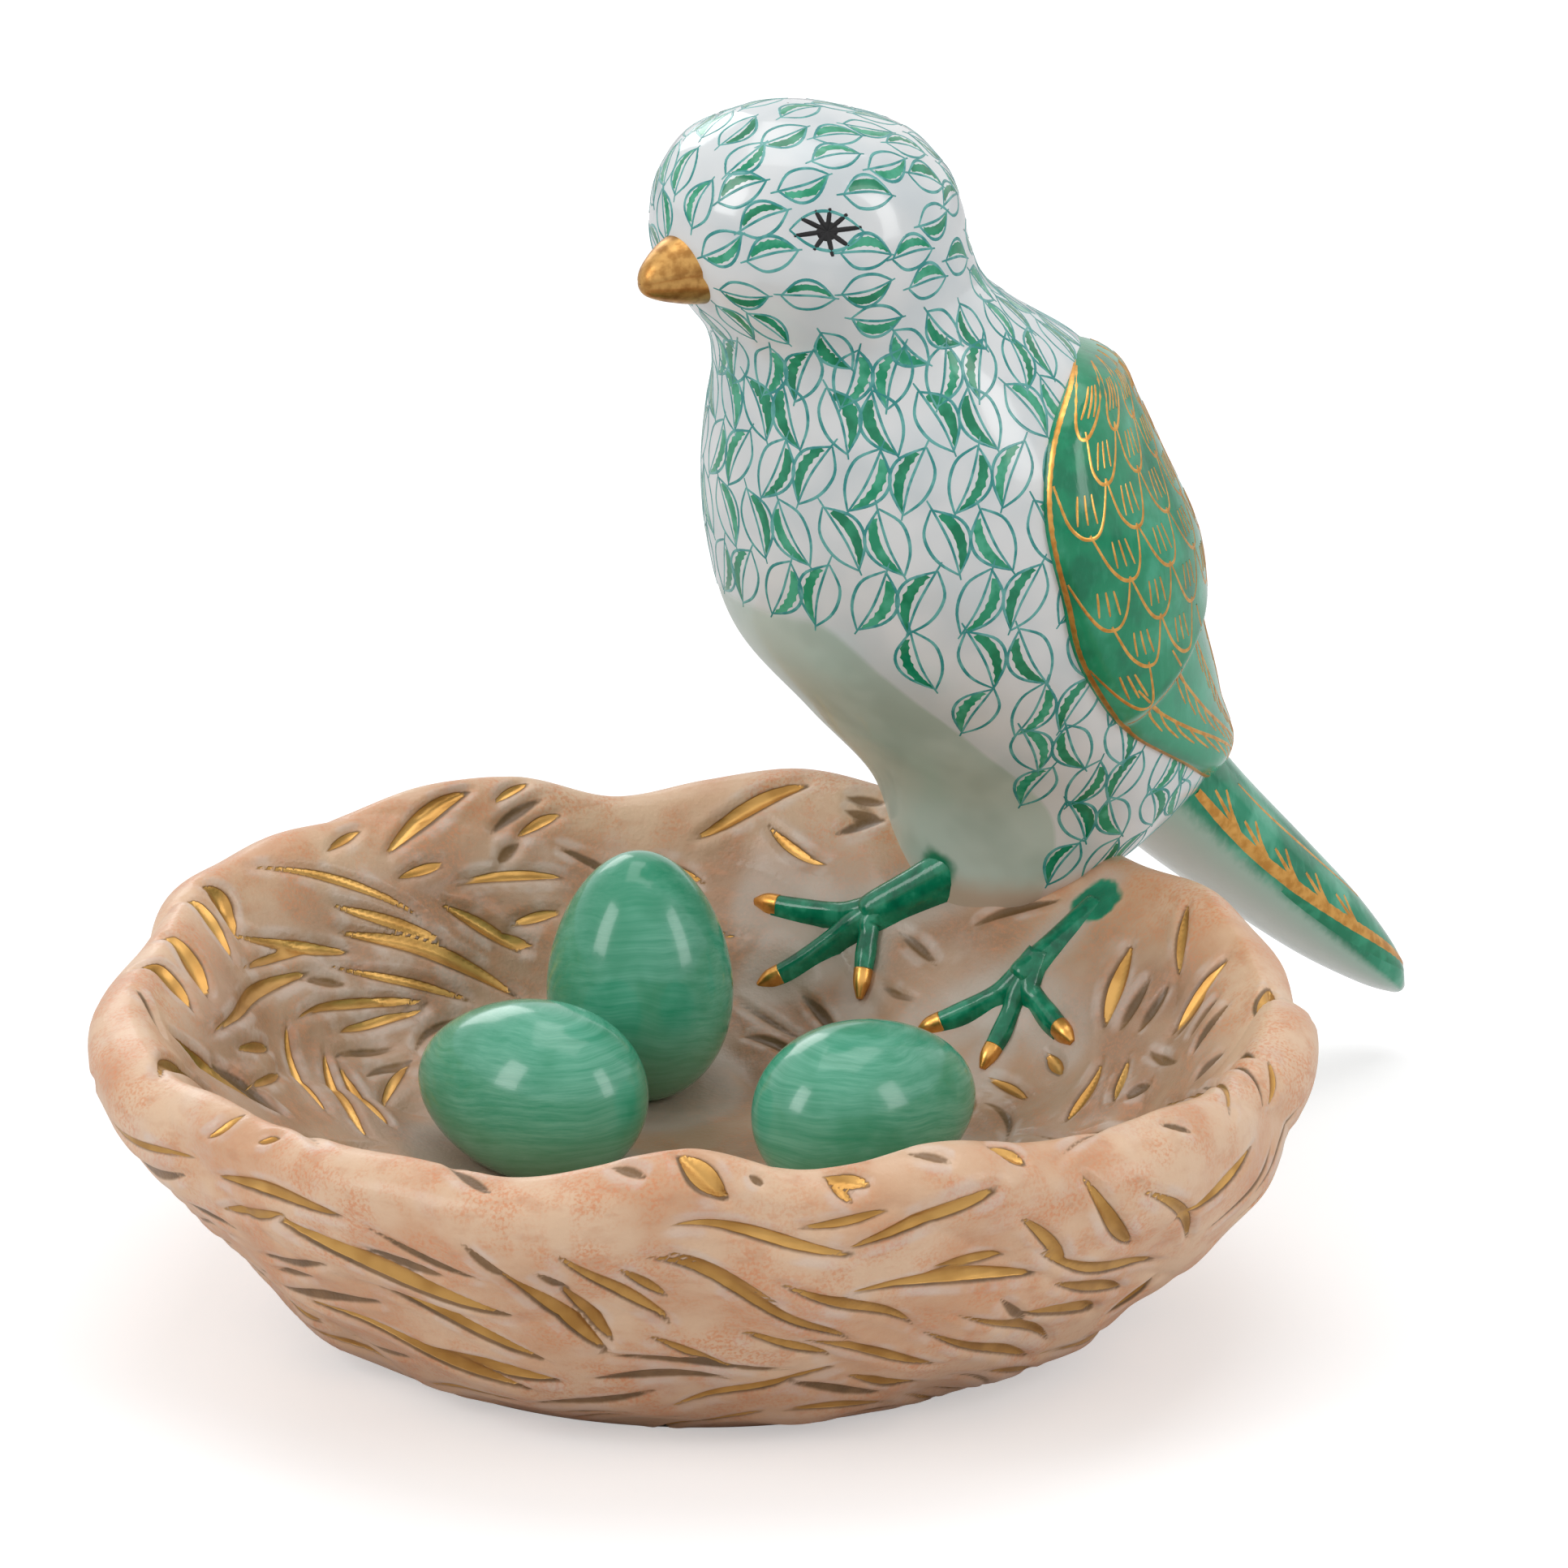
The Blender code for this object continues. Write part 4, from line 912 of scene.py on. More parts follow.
def body_slice(up):
    """Front reach, back reach and half width at each height, with no kink at the slices."""
    heights = BODY_SLICES[:, 0]
    up = np.clip(up, heights[0], heights[-1])
    start = np.clip(np.searchsorted(heights, up, side="right") - 1, 0, len(heights) - 2)
    step = (heights[start + 1] - heights[start])[:, None]
    t = (up - heights[start])[:, None] / step
    a, b = BODY_SLICES[start, 1:], BODY_SLICES[start + 1, 1:]
    slope_a, slope_b = slice_slopes[start] * step, slice_slopes[start + 1] * step
    turned = a * (1 + 2 * t) * (1 - t) ** 2 + b * t * t * (3 - 2 * t)
    return (turned + slope_a * t * (1 - t) ** 2 - slope_b * t * t * (1 - t)).T


def body_skin(angle, up, out=0.0):
    """Point of the body's skin: the angle is 0 at the breast and a right angle at the left side."""
    front, back, half_width = body_slice(up)
    middle, reach = 0.5 * (front - back), 0.5 * (front + back)
    normal = unit(np.stack([np.cos(angle) / reach, np.sin(angle) / half_width], axis=-1))
    ahead = middle + reach * np.cos(angle) + out * normal[:, 0]
    return bird_point(ahead, half_width * np.sin(angle) + out * normal[:, 1], up)


print("the body's widest slice is", 2 * BODY_SLICES[:, 3].max(), "mm across")

# %% [markdown]
# The skin is a grid of rings that closes in a few shrinking rings on the crown, lifted a little in the
# middle so that the head isn't flat on top. The hollow of each eye and the brow over it are pressed in
# afterwards.

# %% Body mesh
BODY_COLUMNS = 300
body_ups = np.concatenate([np.arange(-8.0, 59.4, 0.36), 59.4 + 1.5 * np.sqrt(np.linspace(0.0, 1.0, 7))[1:]])
body_angles = np.linspace(0.0, 2 * math.pi, BODY_COLUMNS, endpoint=False)
body_turn, body_up = np.meshgrid(body_angles, body_ups)
body_points = body_skin(body_turn.ravel(), body_up.ravel()).reshape(*body_turn.shape, 3)
crown = body_points[-1]
crown_middle = crown.mean(axis=0)
caps = [crown_middle + (crown - crown_middle) * k + np.array([0.0, 0.0, CROWN_RISE * (1 - k * k)])
        for k in (0.9, 0.75, 0.55, 0.35, 0.15, 0.02)]
body_points = np.concatenate([body_points, np.array(caps)])
body_normals = grid_normals(body_points)

EYE_TURN, EYE_UP = math.radians(64.8), 54.0
eye_spots = [body_skin(np.array([side * EYE_TURN]), np.array([EYE_UP]))[0] for side in (1, -1)]
for spot in eye_spots:
    away = body_points - spot
    hollow = 0.45 * np.exp(-(np.linalg.norm(away, axis=-1) / 3.0) ** 2)
    body_points = body_points - body_normals * hollow[..., None]
    brow = 0.3 * np.exp(-(np.linalg.norm(away - np.array([0.0, 0.0, 4.2]), axis=-1) / 2.6) ** 2)
    body_points = body_points + body_normals * brow[..., None]
print("eyes at", [spot.round(1).tolist() for spot in eye_spots])

# %% [markdown]
# The glaze of the body is cold white, and glossy. The belly below the painted feathers has a pale
# grey-green wash that ends in a soft line. Near the nest the wash turns to the nest's own brown. The line
# of the wash is a height that depends on the angle round the body, so it is worked out on the points.

# %% Body glaze
WASH_TOP, WASH_BOTTOM = 22.5, -5.0
WASH_START, WASH_END = math.radians(20.0), math.radians(85.0)


def wash_line(turn):
    """Height of the wash's edge at an angle from the breast: level in front, then falling to the side."""
    off = np.abs(turn_between(0.0, turn))
    return WASH_TOP + (WASH_BOTTOM - WASH_TOP) * smooth_step(WASH_START, WASH_END, off)


body_glaze = Finish("body_glaze", roughness=0.16, specular_ior_level=0.4,
                    coat_weight=0.3, coat_roughness=0.05)
cloud = body_glaze.noise(6.0, 2.0)
white = body_glaze.mix(cloud.within(0.35, 0.7), colour(230, 233, 233), colour(214, 221, 223))
belly = body_glaze.mix(cloud.within(0.4, 0.7), colour(200, 215, 205), colour(182, 199, 188))
wash_edge = (body_glaze.painted("wash") + 0.9 * (cloud - 0.5)).within(-0.5, 0.7)
skin = body_glaze.mix(wash_edge, white, belly)
root = (body_glaze.painted("root") + 1.6 * (body_glaze.noise(3.0, 3.0) - 0.5)).within(-1.2, 1.6)
skin = body_glaze.mix(0.8 * root, skin, colour(196, 166, 142))
puddle = (body_glaze.painted("green") + 1.2 * (body_glaze.noise(1.5, 2.0) - 0.5)).within(-0.6, 0.6)
skin = body_glaze.mix(puddle, skin, colour(10, 128, 92))
body_glaze.done(Base_Color=skin, Roughness=0.16 + 0.2 * wash_edge, Normal=body_glaze.bump(cloud, 0.03))
cap_turn = np.tile(body_angles, (len(caps), 1))
full_turn = np.concatenate([body_turn, cap_turn])
full_up = np.concatenate([body_up, np.full(cap_turn.shape, BODY_SLICES[-1, 0] + CROWN_RISE)])
body_paint = {
    "wash": wash_line(full_turn) - full_up,
    "root": -full_up - 1.6,
    "green": pool_reach(body_points, 1.5),
}
body_faces = sheet_faces(len(body_points), BODY_COLUMNS, True)
piece("body", body_points, body_faces, body_glaze.material, body_paint)

# %% [markdown]
# ## Gold
# Gold is painted on as a brown liquid and comes out of a third firing as a thin bright metal, uneven where
# the brush left more or less of it. So it is one metallic finish with cloudy roughness, in two tones: a
# clear one for the drawn lines and the claws and a browner one for the beak.

# %% Gold
def gold_finish(name, light, dark, rough):
    gold = Finish(name, metallic=0.92, roughness=rough)
    brushed = gold.noise(0.8, 4.0)
    gold.done(
        Base_Color=gold.mix(brushed.within(0.35, 0.68), light, dark),
        Roughness=rough - 0.06 + 0.16 * brushed, Normal=gold.bump(gold.noise(0.5, 3.0), 0.02),
    )
    return gold.material


line_gold = gold_finish("line_gold", colour(226, 170, 92), colour(196, 138, 66), 0.3)
beak_gold = gold_finish("beak_gold", colour(206, 158, 92), colour(166, 118, 62), 0.34)
print("golds:", line_gold.name, beak_gold.name)

# %% [markdown]
# ## Beak
# The beak is a short cone with an oval section that droops a little towards its tip. It could be a scaled
# cone, but a row of slices gives its blunt end, and the line between its two halves is pressed in as a
# narrow dip.

# %% Beak
BEAK_SLICES = np.array([
    (25.0, 50.2, 3.6, 3.4), (29.2, 50.1, 3.1, 3.0), (31.4, 49.9, 2.4, 2.4),
    (33.0, 49.6, 1.5, 1.6), (33.8, 49.4, 0.8, 0.9), (34.1, 49.3, 0.05, 0.05),
])
BEAK_ROWS, BEAK_COLUMNS = 60, 64
beak_place, beak_turn = round_grid(0.0, len(BEAK_SLICES) - 1.0, BEAK_ROWS, BEAK_COLUMNS)
ahead, up, half_width, half_depth = along(BEAK_SLICES, beak_place.ravel()).T
turn = beak_turn.ravel()
lips = 1.0 - 0.07 * np.exp(-((np.sin(turn) + 0.1) / 0.12) ** 2)
beak_points = bird_point(ahead, lips * half_width * np.cos(turn), up + half_depth * np.sin(turn))
piece("beak", beak_points, sheet_faces(BEAK_ROWS, BEAK_COLUMNS, True)[:, ::-1], beak_gold)

# %% [markdown]
# ## Tail and wings
# The tail is one long leaf with a low ridge on its back. Each wing is a pad that lies on the body, thicker
# where the small covert feathers end above the long quills. Both are laid over the body as their own glazed
# sheets, whose edges sink into the white skin.

# %% Green glaze
def green_finish(name, deep, mid, pale, patch):
    green = Finish(name, roughness=0.16, specular_ior_level=0.35, coat_weight=0.2, coat_roughness=0.05)
    cloud, streak = green.noise(patch, 3.0), green.noise(0.5, 3.0, green.place((1.0, 1.0, 0.3)))
    tint = green.mix(cloud.within(0.34, 0.5), deep, mid)
    tint = green.mix(cloud.within(0.5, 0.68) * 0.85 + 0.2 * streak.within(0.5, 0.7), tint, pale)
    return green, tint, streak


TAIL_SLICES = np.array([
    (-6, 9, 8.2, 6.4, 6.0), (-13, 3.4, 7.6, 5.6, 5.2), (-19.5, -2.6, 6.8, 4.9, 4.6),
    (-26, -8.5, 5.9, 4.4, 3.8), (-32.2, -14, 4.9, 3.7, 2.9), (-37.2, -18.3, 3.4, 2.4, 1.7),
    (-39.6, -20.4, 1.5, 0.9, 0.7),
])
TAIL_SLOPE = math.atan2(TAIL_SLICES[-1, 1] - TAIL_SLICES[0, 1], TAIL_SLICES[0, 0] - TAIL_SLICES[-1, 0])


def tail_skin(place, turn):
    """Point of the tail: the turn is 0 at the left edge and a right angle on its back."""
    ahead, up, half_width, rise, fall = along(TAIL_SLICES, place).T
    height = np.where(np.sin(turn) > 0.0, rise, fall) * np.sin(turn)
    ahead, up = ahead + height * math.sin(TAIL_SLOPE), up + height * math.cos(TAIL_SLOPE)
    return bird_point(ahead, half_width * np.cos(turn), up)


tail_greens = (colour(10, 124, 88), colour(24, 144, 106), colour(88, 180, 146))
tail_glaze, tint, streak = green_finish("tail_glaze", *tail_greens, 4.0)
under = (tail_glaze.painted("back") + 0.15 * (streak - 0.5)).within(-0.5, -0.2)
near_edge = tail_glaze.painted("back").within(-0.9, -0.4)
pale = tail_glaze.mix(near_edge, colour(216, 224, 216), colour(176, 204, 188))
tint = tail_glaze.mix(0.85 * tail_glaze.painted("tip"), tint, colour(200, 216, 206))
tail_glaze.done(Base_Color=tail_glaze.mix(under, pale, tint), Normal=tail_glaze.bump(streak, 0.02))
TAIL_ROWS, TAIL_COLUMNS = 110, 120
tail_place, tail_turn = round_grid(0.0, len(TAIL_SLICES) - 1.0, TAIL_ROWS, TAIL_COLUMNS)
tail_points = tail_skin(tail_place.ravel(), tail_turn.ravel()).reshape(TAIL_ROWS, TAIL_COLUMNS, 3)
tip = tail_points[-1].mean(axis=0)
bulge = bird_point(-0.5, 0.0, -0.4) - bird_point(0.0, 0.0, 0.0)
tail_end = [tip + (tail_points[-1] - tip) * k + (1 - k) * bulge for k in (0.8, 0.5, 0.05)]
tail_points = np.concatenate([tail_points, np.array(tail_end)])
tail_back = np.sin(np.concatenate([tail_turn, tail_turn[:3]]))
tail_far = smooth_step(5.55, 5.95, np.concatenate([tail_place, tail_place[-3:]]))
tail_faces = sheet_faces(len(tail_points), TAIL_COLUMNS, True)
piece("tail", tail_points, tail_faces, tail_glaze.material, {"back": tail_back, "tip": tail_far})

# %% [markdown]
# A wing is given in its own measures: a row from the shoulder to the tip, and a share from the front edge
# to the rear. It is laid on the body at a height over the skin. One blend rounds its edges, and another
# lowers it by a step where the coverts end. A modelled step would need cuts and joins, and a blend of
# heights doesn't.

# %% Wings
WING_EDGES = np.array([
    (41, 136, 157), (39.5, 113, 164), (36, 96, 167), (30, 86.5, 169), (23, 85.5, 170),
    (17, 87.5, 170), (12.5, 91, 169), (9, 102, 168), (6, 117, 166), (4, 134, 162),
])
WING_THICKNESS, COVERT_THICKNESS, COVERT_END, COVERT_CLIMB = 1.3, 0.7, 12.5, 11.0


def wing_skin(side, row, share, lift=0.0):
    """Point of a wing: the row runs from the shoulder to the tip, the share from front to rear."""
    up, front, rear = along(WING_EDGES, row).T
    end_round = np.sqrt(smooth_step(-0.02, 1.5, np.minimum(row, 9.0 - row)))
    edge_round = np.sqrt(np.maximum(0.0, 1.0 - np.abs(2.0 * share - 1.0) ** 7))
    covert = smooth_step(-0.6, 0.6, up - COVERT_END - COVERT_CLIMB * share)
    out = (WING_THICKNESS + COVERT_THICKNESS * covert + 0.5) * edge_round * end_round - 0.5 + lift
    turn = np.radians(front + share * (rear - front))
    return body_skin(side * turn, up, out), covert


wing_greens = (colour(4, 124, 86), colour(14, 144, 100), colour(62, 170, 132))
wing_glaze, tint, streak = green_finish("wing_glaze", *wing_greens, 4.0)
quills, rear = wing_glaze.painted("covert"), wing_glaze.painted("rear")
tint = wing_glaze.mix((1 - quills) * 0.45, tint, colour(86, 180, 146))
tint = wing_glaze.mix(rear.within(0.45, 1.0) * 0.5, tint, colour(110, 186, 158))
# A pale band on the step where the coverts end: thinner glaze with a painted highlight.
ledge = quills.within(0.02, 0.4) * (1 - quills.within(0.5, 0.98))
tint = wing_glaze.mix(0.55 * ledge, tint, colour(176, 212, 194))
wing_glaze.done(Base_Color=tint, Normal=wing_glaze.bump(streak, 0.02))
WING_ROWS, WING_COLUMNS = 200, 120
rows_down, shares_across = np.linspace(0.0, 9.0, WING_ROWS), np.linspace(0.0, 1.0, WING_COLUMNS)
wing_row, wing_share = np.meshgrid(rows_down, shares_across, indexing="ij")
wing_faces = sheet_faces(WING_ROWS, WING_COLUMNS, False)
wing_points = {}
for name, side in (("left_wing", 1), ("right_wing", -1)):
    wing_points[side], covert = wing_skin(side, wing_row.ravel(), wing_share.ravel())
    faces = wing_faces[:, ::-1] if side > 0 else wing_faces
    piece(name, wing_points[side], faces, wing_glaze.material, {"covert": covert, "rear": wing_share})

# %% [markdown]
# ## Legs and feet
# The legs run down the inside of the nest and end in three toes each, rolled from thin coils of clay and
# pressed on. They are painted emerald and the claws are gilded. A limb is a tube along a curve through a
# few points, with knuckles where it is thicker, and it is sunk a little into the clay below.

# %% Limbs
foot_greens = (colour(0, 104, 74), colour(6, 126, 90), colour(52, 160, 124))
foot_glaze, tint, streak = green_finish("foot_glaze", *foot_greens, 1.6)
foot_glaze.done(Base_Color=tint, Normal=foot_glaze.bump(streak, 0.03))


def limb(name, stops, radii, finish, deep=2.0, rows=28, columns=20):
    """A tapering tube through a few points; its underside reaches deeper, into the clay."""
    places = np.linspace(0.0, len(stops) - 1.0, rows)
    path = along(np.array(stops), places)
    girth = along(np.array(radii)[:, None], places)[:, 0]
    ahead = unit(np.gradient(path, axis=0))
    aside = unit(np.cross(ahead, np.array([0.0, 0.0, 1.0])))
    upright = np.cross(aside, ahead)
    turn = np.linspace(0.0, 2 * math.pi, columns, endpoint=False)
    rise = np.sin(turn) * np.where(np.sin(turn) < 0.0, deep, 1.0)
    ring = np.cos(turn)[None, :, None] * aside[:, None] + rise[None, :, None] * upright[:, None]
    points = path[:, None] + girth[:, None, None] * ring
    ends = [np.repeat(points[i].mean(axis=0)[None, None], columns, axis=1) for i in (0, -1)]
    points = np.concatenate([ends[0], points, ends[1]])
    return piece(name, points, sheet_faces(rows + 2, columns, True), finish)


def on_the_slope(x, y, lift):
    return np.array([x, y, inner_wall(np.array([x]), np.array([y]))[0] + lift])


CLAW = 2.0
for i, ((top, parting), tips) in enumerate(FEET):
    start = bird_point(*top) - np.array([0.0, 0.0, 1.1])
    knee = on_the_slope(*bird_point(*parting, 0.0)[:2], 0.9)
    stops = [start, 0.5 * (start + knee), knee, knee + 0.1 * (knee - start)]
    limb(f"leg_{i + 1}", stops, [1.7, 1.4, 1.25, 0.8], foot_glaze.material)
    for j, tip in enumerate(tips):
        near, far = bird_point(*parting, 0.0)[:2], bird_point(*tip, 0.0)[:2]
        root = near + 0.2 * (start[:2] - near)
        claw = 1.0 - CLAW / np.linalg.norm(on_the_slope(*far, 0.0) - on_the_slope(*near, 0.0))
        shares = (0.12, 0.4 * claw, 0.75 * claw, claw + 0.03)
        spots = [root] + [near + share * (far - near) for share in shares]
        lifts = (0.8, 0.6, 0.45, 0.45, 0.4)
        stops = [on_the_slope(*spot, lift) for spot, lift in zip(spots, lifts)]
        limb(f"toe_{i + 1}_{j + 1}", stops, [1.05, 1.0, 0.78, 0.82, 0.7], foot_glaze.material)
        spots = [near + share * (far - near) for share in (claw - 0.01, 0.5 * (claw + 1.0), 1.0)]
        stops = [on_the_slope(*spot, lift) for spot, lift in zip(spots, (0.42, 0.35, 0.05))]
        limb(f"claw_{i + 1}_{j + 1}", stops, [0.76, 0.66, 0.25], line_gold, 1.6, 14)

# %% [markdown]
# ## Painting
# The painter's lines are about a third of a millimetre wide, far finer than the body's grid, so a colour
# map on the points would blur them. Instead every stroke is a thin skin of its own that follows the glaze:
# a few points across, snapped to the nearest place of the piece below, with its edges just under the glaze
# and its middle a hair above it, as enamel stands on a real figurine. All the strokes of one colour make
# one piece.

# %% A brush
class Brush:
    """Strokes of one colour, each snapped to the glaze below it."""

    def __init__(self):
        self.points, self.faces = [], []

    def lay(self, ground, rows, lifts):
        shape = rows.shape[:2]
        first = len(self.points)
        for point, lift in zip(rows.reshape(-1, 3), np.broadcast_to(lifts, shape).ravel()):
            spot, normal = ground.nearest(point)
            self.points.append(spot + float(lift) * normal)
        self.faces += (sheet_faces(*shape, False) + first).tolist()

    def sides(self, ground, path):
        normals = np.array([ground.nearest(point)[1] for point in path])
        return unit(np.cross(normals, np.gradient(path, axis=0)))

    def line(self, ground, path, width, height=0.045):
        """A line through the points, thinner towards both ends."""
        path = along(path, np.linspace(0.0, len(path) - 1.0, max(5, 4 * len(path) - 3)))
        taper = 0.35 + 0.65 * np.sin(np.linspace(0.12, math.pi - 0.12, len(path))) ** 0.5
        aside = self.sides(ground, path) * (0.5 * width * taper)[:, None]
        self.lay(ground, np.stack([path + aside, path, path - aside], axis=1), [-0.015, height, -0.015])

    def leaf(self, ground, path, halves, shares=(1.0, 0.5, 0.0, -0.5, -1.0)):
        """A filled shape round a middle line, as wide as its halves; the shares say what is filled."""
        aside = self.sides(ground, path) * halves[:, None]
        lifts = np.full(len(shares), 0.025)
        lifts[[0, -1]] = -0.012
        self.lay(ground, np.stack([path + share * aside for share in shares], axis=1), lifts)

    def done(self, name, finish):
        return piece(name, np.array(self.points), self.faces, finish)


class Ground:
    """The glaze of one piece, to lay strokes on. Its normals point away from a place inside."""

    def __init__(self, points, faces, inside):
        self.tree = BVHTree.FromPolygons(np.reshape(points, (-1, 3)).tolist(), np.asarray(faces).tolist())
        self.inside = Vector(inside)

    def nearest(self, point):
        spot, normal, _, _ = self.tree.find_nearest(Vector(point))
        return spot, normal if normal.dot(spot - self.inside) > 0.0 else -normal


body_ground = Ground(body_points, body_faces, bird_point(9.0, 0.0, 30.0))
tail_ground = Ground(tail_points, tail_faces, bird_point(-20.0, 0.0, -3.2))
inside_wings = bird_point(5.0, 0.0, 22.0)
wing_grounds = {side: Ground(points, wing_faces, inside_wings) for side, points in wing_points.items()}
teal_lines, green_dabs, dark_dabs, gold_lines, black_lines = (Brush() for _ in range(5))
print("skins to paint on: the body, the tail and", len(wing_grounds), "wings")

# %% [markdown]
# ## Small feathers
# The body is covered with small pointed feathers. Each has a thin almond outline, a middle quill that runs
# on a little at both ends, and one half washed in green. On the breast they stand in rows that lean to one
# side and the other by turns, like the stitches of a herringbone. On the head they are smaller and fan out
# from the beak, and a new one is only drawn where it is clear of the others. Feathers that would touch the
# eye, the beak or the belly's wash are left out, and those under a wing are hidden by it.

# %% One feather
BEAK_BASE, EYE_CLEAR, BEAK_CLEAR = bird_point(29.5, 0.0, 50.0), 3.3, 3.9
BREAST_TOP = 42.0


def flow_at(spot, normal):
    """The direction in which feathers point at a place of the body, and the direction across."""
    share = float(smooth_step(40.0, 49.0, spot[2] - RIM_HEIGHT))
    flow = share * unit(spot - BEAK_BASE) + (1.0 - share) * np.array([0.0, 0.0, -1.0])
    flow = unit(flow - (flow @ normal) * normal)
    return flow, np.cross(normal, flow)


def free_for_feather(spot):
    off_perch = (spot - bird_point(0.0, 0.0, 0.0))[:2]
    ahead = off_perch @ np.array([math.cos(HEADING), math.sin(HEADING)])
    left = off_perch @ np.array([-math.sin(HEADING), math.cos(HEADING)])
    up = spot[2] - RIM_HEIGHT
    front, back, half_width = body_slice(np.array([up]))[:, 0]
    turn = math.atan2(left / half_width, (ahead - 0.5 * (front - back)) / (0.5 * (front + back)))
    off = abs(math.degrees(turn))
    wing_front, wing_rear = (np.interp(up, WING_EDGES[::-1, 0], WING_EDGES[::-1, k]) for k in (1, 2))
    under_wing = 5.0 < up < 40.0 and wing_front + 8.0 < off < wing_rear - 2.0
    under_tail = up < 12.0 and off > 152.0
    near_eye = min(np.linalg.norm(spot - eye) for eye in eye_spots) < EYE_CLEAR
    near_beak = np.linalg.norm(spot - BEAK_BASE) < BEAK_CLEAR
    return not (under_wing or under_tail or near_eye or near_beak) and up > wash_line(np.array(turn)) + 1.0


def feather(spot, lean, long, wide, washed):
    spot, normal = (np.array(found) for found in body_ground.nearest(spot))
    flow, across = flow_at(spot, normal)
    cos, sin = math.cos(lean), math.sin(lean)
    ahead, across = cos * flow + sin * across, cos * across - sin * flow
    share = np.linspace(0.0, 1.0, 9)
    half = 0.5 * wide * np.sin(math.pi * share**0.9) ** 0.8
    bow = 0.1 * wide * np.sin(math.pi * share) * washed
    quill = spot + (share[:, None] - 0.5) * long * ahead + bow[:, None] * across
    for side in (1.0, -1.0):
        teal_lines.line(body_ground, quill[::2] + side * half[::2, None] * across, 0.36)
    start, end = spot - 0.64 * long * ahead, spot + 0.58 * long * ahead
    teal_lines.line(body_ground, np.array([start, quill[2], quill[5], end]), 0.3)
    dab = dark_dabs if chance.random() < 0.5 else green_dabs
    filled = (0.98, 0.5, 0.04) if washed > 0 else (-0.04, -0.5, -0.98)
    dab.leaf(body_ground, quill[1:], half[1:] + 0.04, filled)


print("feathers keep off, mm: eyes", EYE_CLEAR, "and beak", BEAK_CLEAR)

# %% [markdown]
# The rows go down the body by steps that follow the slope of its skin, and every second row is shifted by
# half a feather. The gap depends on the height, because the feathers are smaller at the neck and near the
# legs. A pattern wrapped on as a picture would stretch at the breast, and rows that are counted anew don't.

# %% Feathers of the breast and the back
up, row, feathers = BREAST_TOP, 0, 0
while up > -2.0:
    front, back, half_width = body_slice(np.array([up]))[:, 0]
    gap = float(np.interp(up, [-2.0, 6.0, 20.0, 38.0, 44.0], [3.8, 4.4, 5.2, 4.8, 4.2]))
    count = round(math.pi * (0.5 * (front + back) + half_width) / (0.8 * gap))
    for k in range(count):
        spot = body_skin(np.array([2 * math.pi * (k + 0.5 * (row % 2)) / count]), np.array([up]))[0]
        if free_for_feather(spot):
            lean = 0.42 * (1 if row % 2 else -1) + chance.uniform(-0.12, 0.12)
            feather(spot, lean, 1.12 * gap, 0.68 * gap, 1 if (row + k) % 2 else -1)
            feathers += 1
    steep = np.linalg.norm(np.diff(body_skin(np.array([1.2, 1.2]), np.array([up, up - 0.5])), axis=0)) / 0.5
    up -= gap / max(1.0, float(steep))
    row += 1
print(feathers, "feathers in rows")

# %% [markdown]
# On the head such rows would crowd together at the beak. So places are tried by chance, and one is kept
# only where it is clear of all the others, measured in the feather's own length and width.

# %% Feathers of the head
HEAD_LONG, HEAD_WIDE = 4.1, 2.7
placed = []
for ahead, left, rise in chance.uniform((-12.0, -14.0, BREAST_TOP + 2.2), (34.0, 14.0, 64.0), (9000, 3)):
    spot, normal = (np.array(found) for found in body_ground.nearest(bird_point(ahead, left, rise)))
    if spot[2] - RIM_HEIGHT < BREAST_TOP + 2.2 or not free_for_feather(spot):
        continue
    flow, across = flow_at(spot, normal)
    away = np.array(placed).reshape(-1, 3) - spot
    own_widths = np.stack([away @ flow / HEAD_LONG, away @ across / HEAD_WIDE, away @ normal / HEAD_WIDE])
    if np.all(np.linalg.norm(own_widths, axis=0) > 0.93):
        placed.append(spot)
for spot in placed:
    feather(spot, chance.uniform(-0.25, 0.25), HEAD_LONG, HEAD_WIDE, chance.choice((-1, 1)))
print(len(placed), "feathers on the head")

# %% [markdown]
# ## Eye
# The eye is an almond drawn in teal round a black dot, with short black strokes that stand out from the dot
# like the points of a star. It is drawn on both sides of the head, in the hollow that was pressed for it.

# %% Eyes
LASHES = (
    # degrees round the dot, length in millimetres
    (4, 2.7), (36, 2.1), (76, 1.8), (114, 1.8), (150, 2.2), (185, 2.6), (228, 1.8), (275, 1.9), (322, 1.9),
)
for side, spot in zip((1, -1), eye_spots):
    turns, ups = np.array([1.0, 1.0, 1.02]) * side * EYE_TURN, np.array([EYE_UP, EYE_UP + 0.1, EYE_UP])
    here, above, behind = body_skin(turns, ups)
    back, rise = unit(behind - here), unit(above - here)

    def at_eye(x, y):
        return spot + x * back + y * rise

    for bulge in (1.55, -1.45):
        lid = [at_eye(x, bulge * (1.0 - (x / 2.9) ** 2) - 0.08 * x) for x in np.linspace(-2.9, 2.9, 7)]
        teal_lines.line(body_ground, np.array(lid), 0.34)
    dot = np.array([at_eye(x, 0.0) for x in np.linspace(-0.85, 0.85, 9)])
    black_lines.leaf(body_ground, dot, 0.85 * np.sqrt(1.0 - (np.linspace(-0.99, 0.99, 9)) ** 2))
    for degrees, reach in LASHES:
        x, y = math.cos(math.radians(degrees)), math.sin(math.radians(degrees))
        lash = [at_eye(k * reach * x, k * reach * y) for k in (0.0, 0.5, 1.0)]
        black_lines.line(body_ground, np.array(lash), 0.5)
print("strokes round each eye:", len(LASHES))

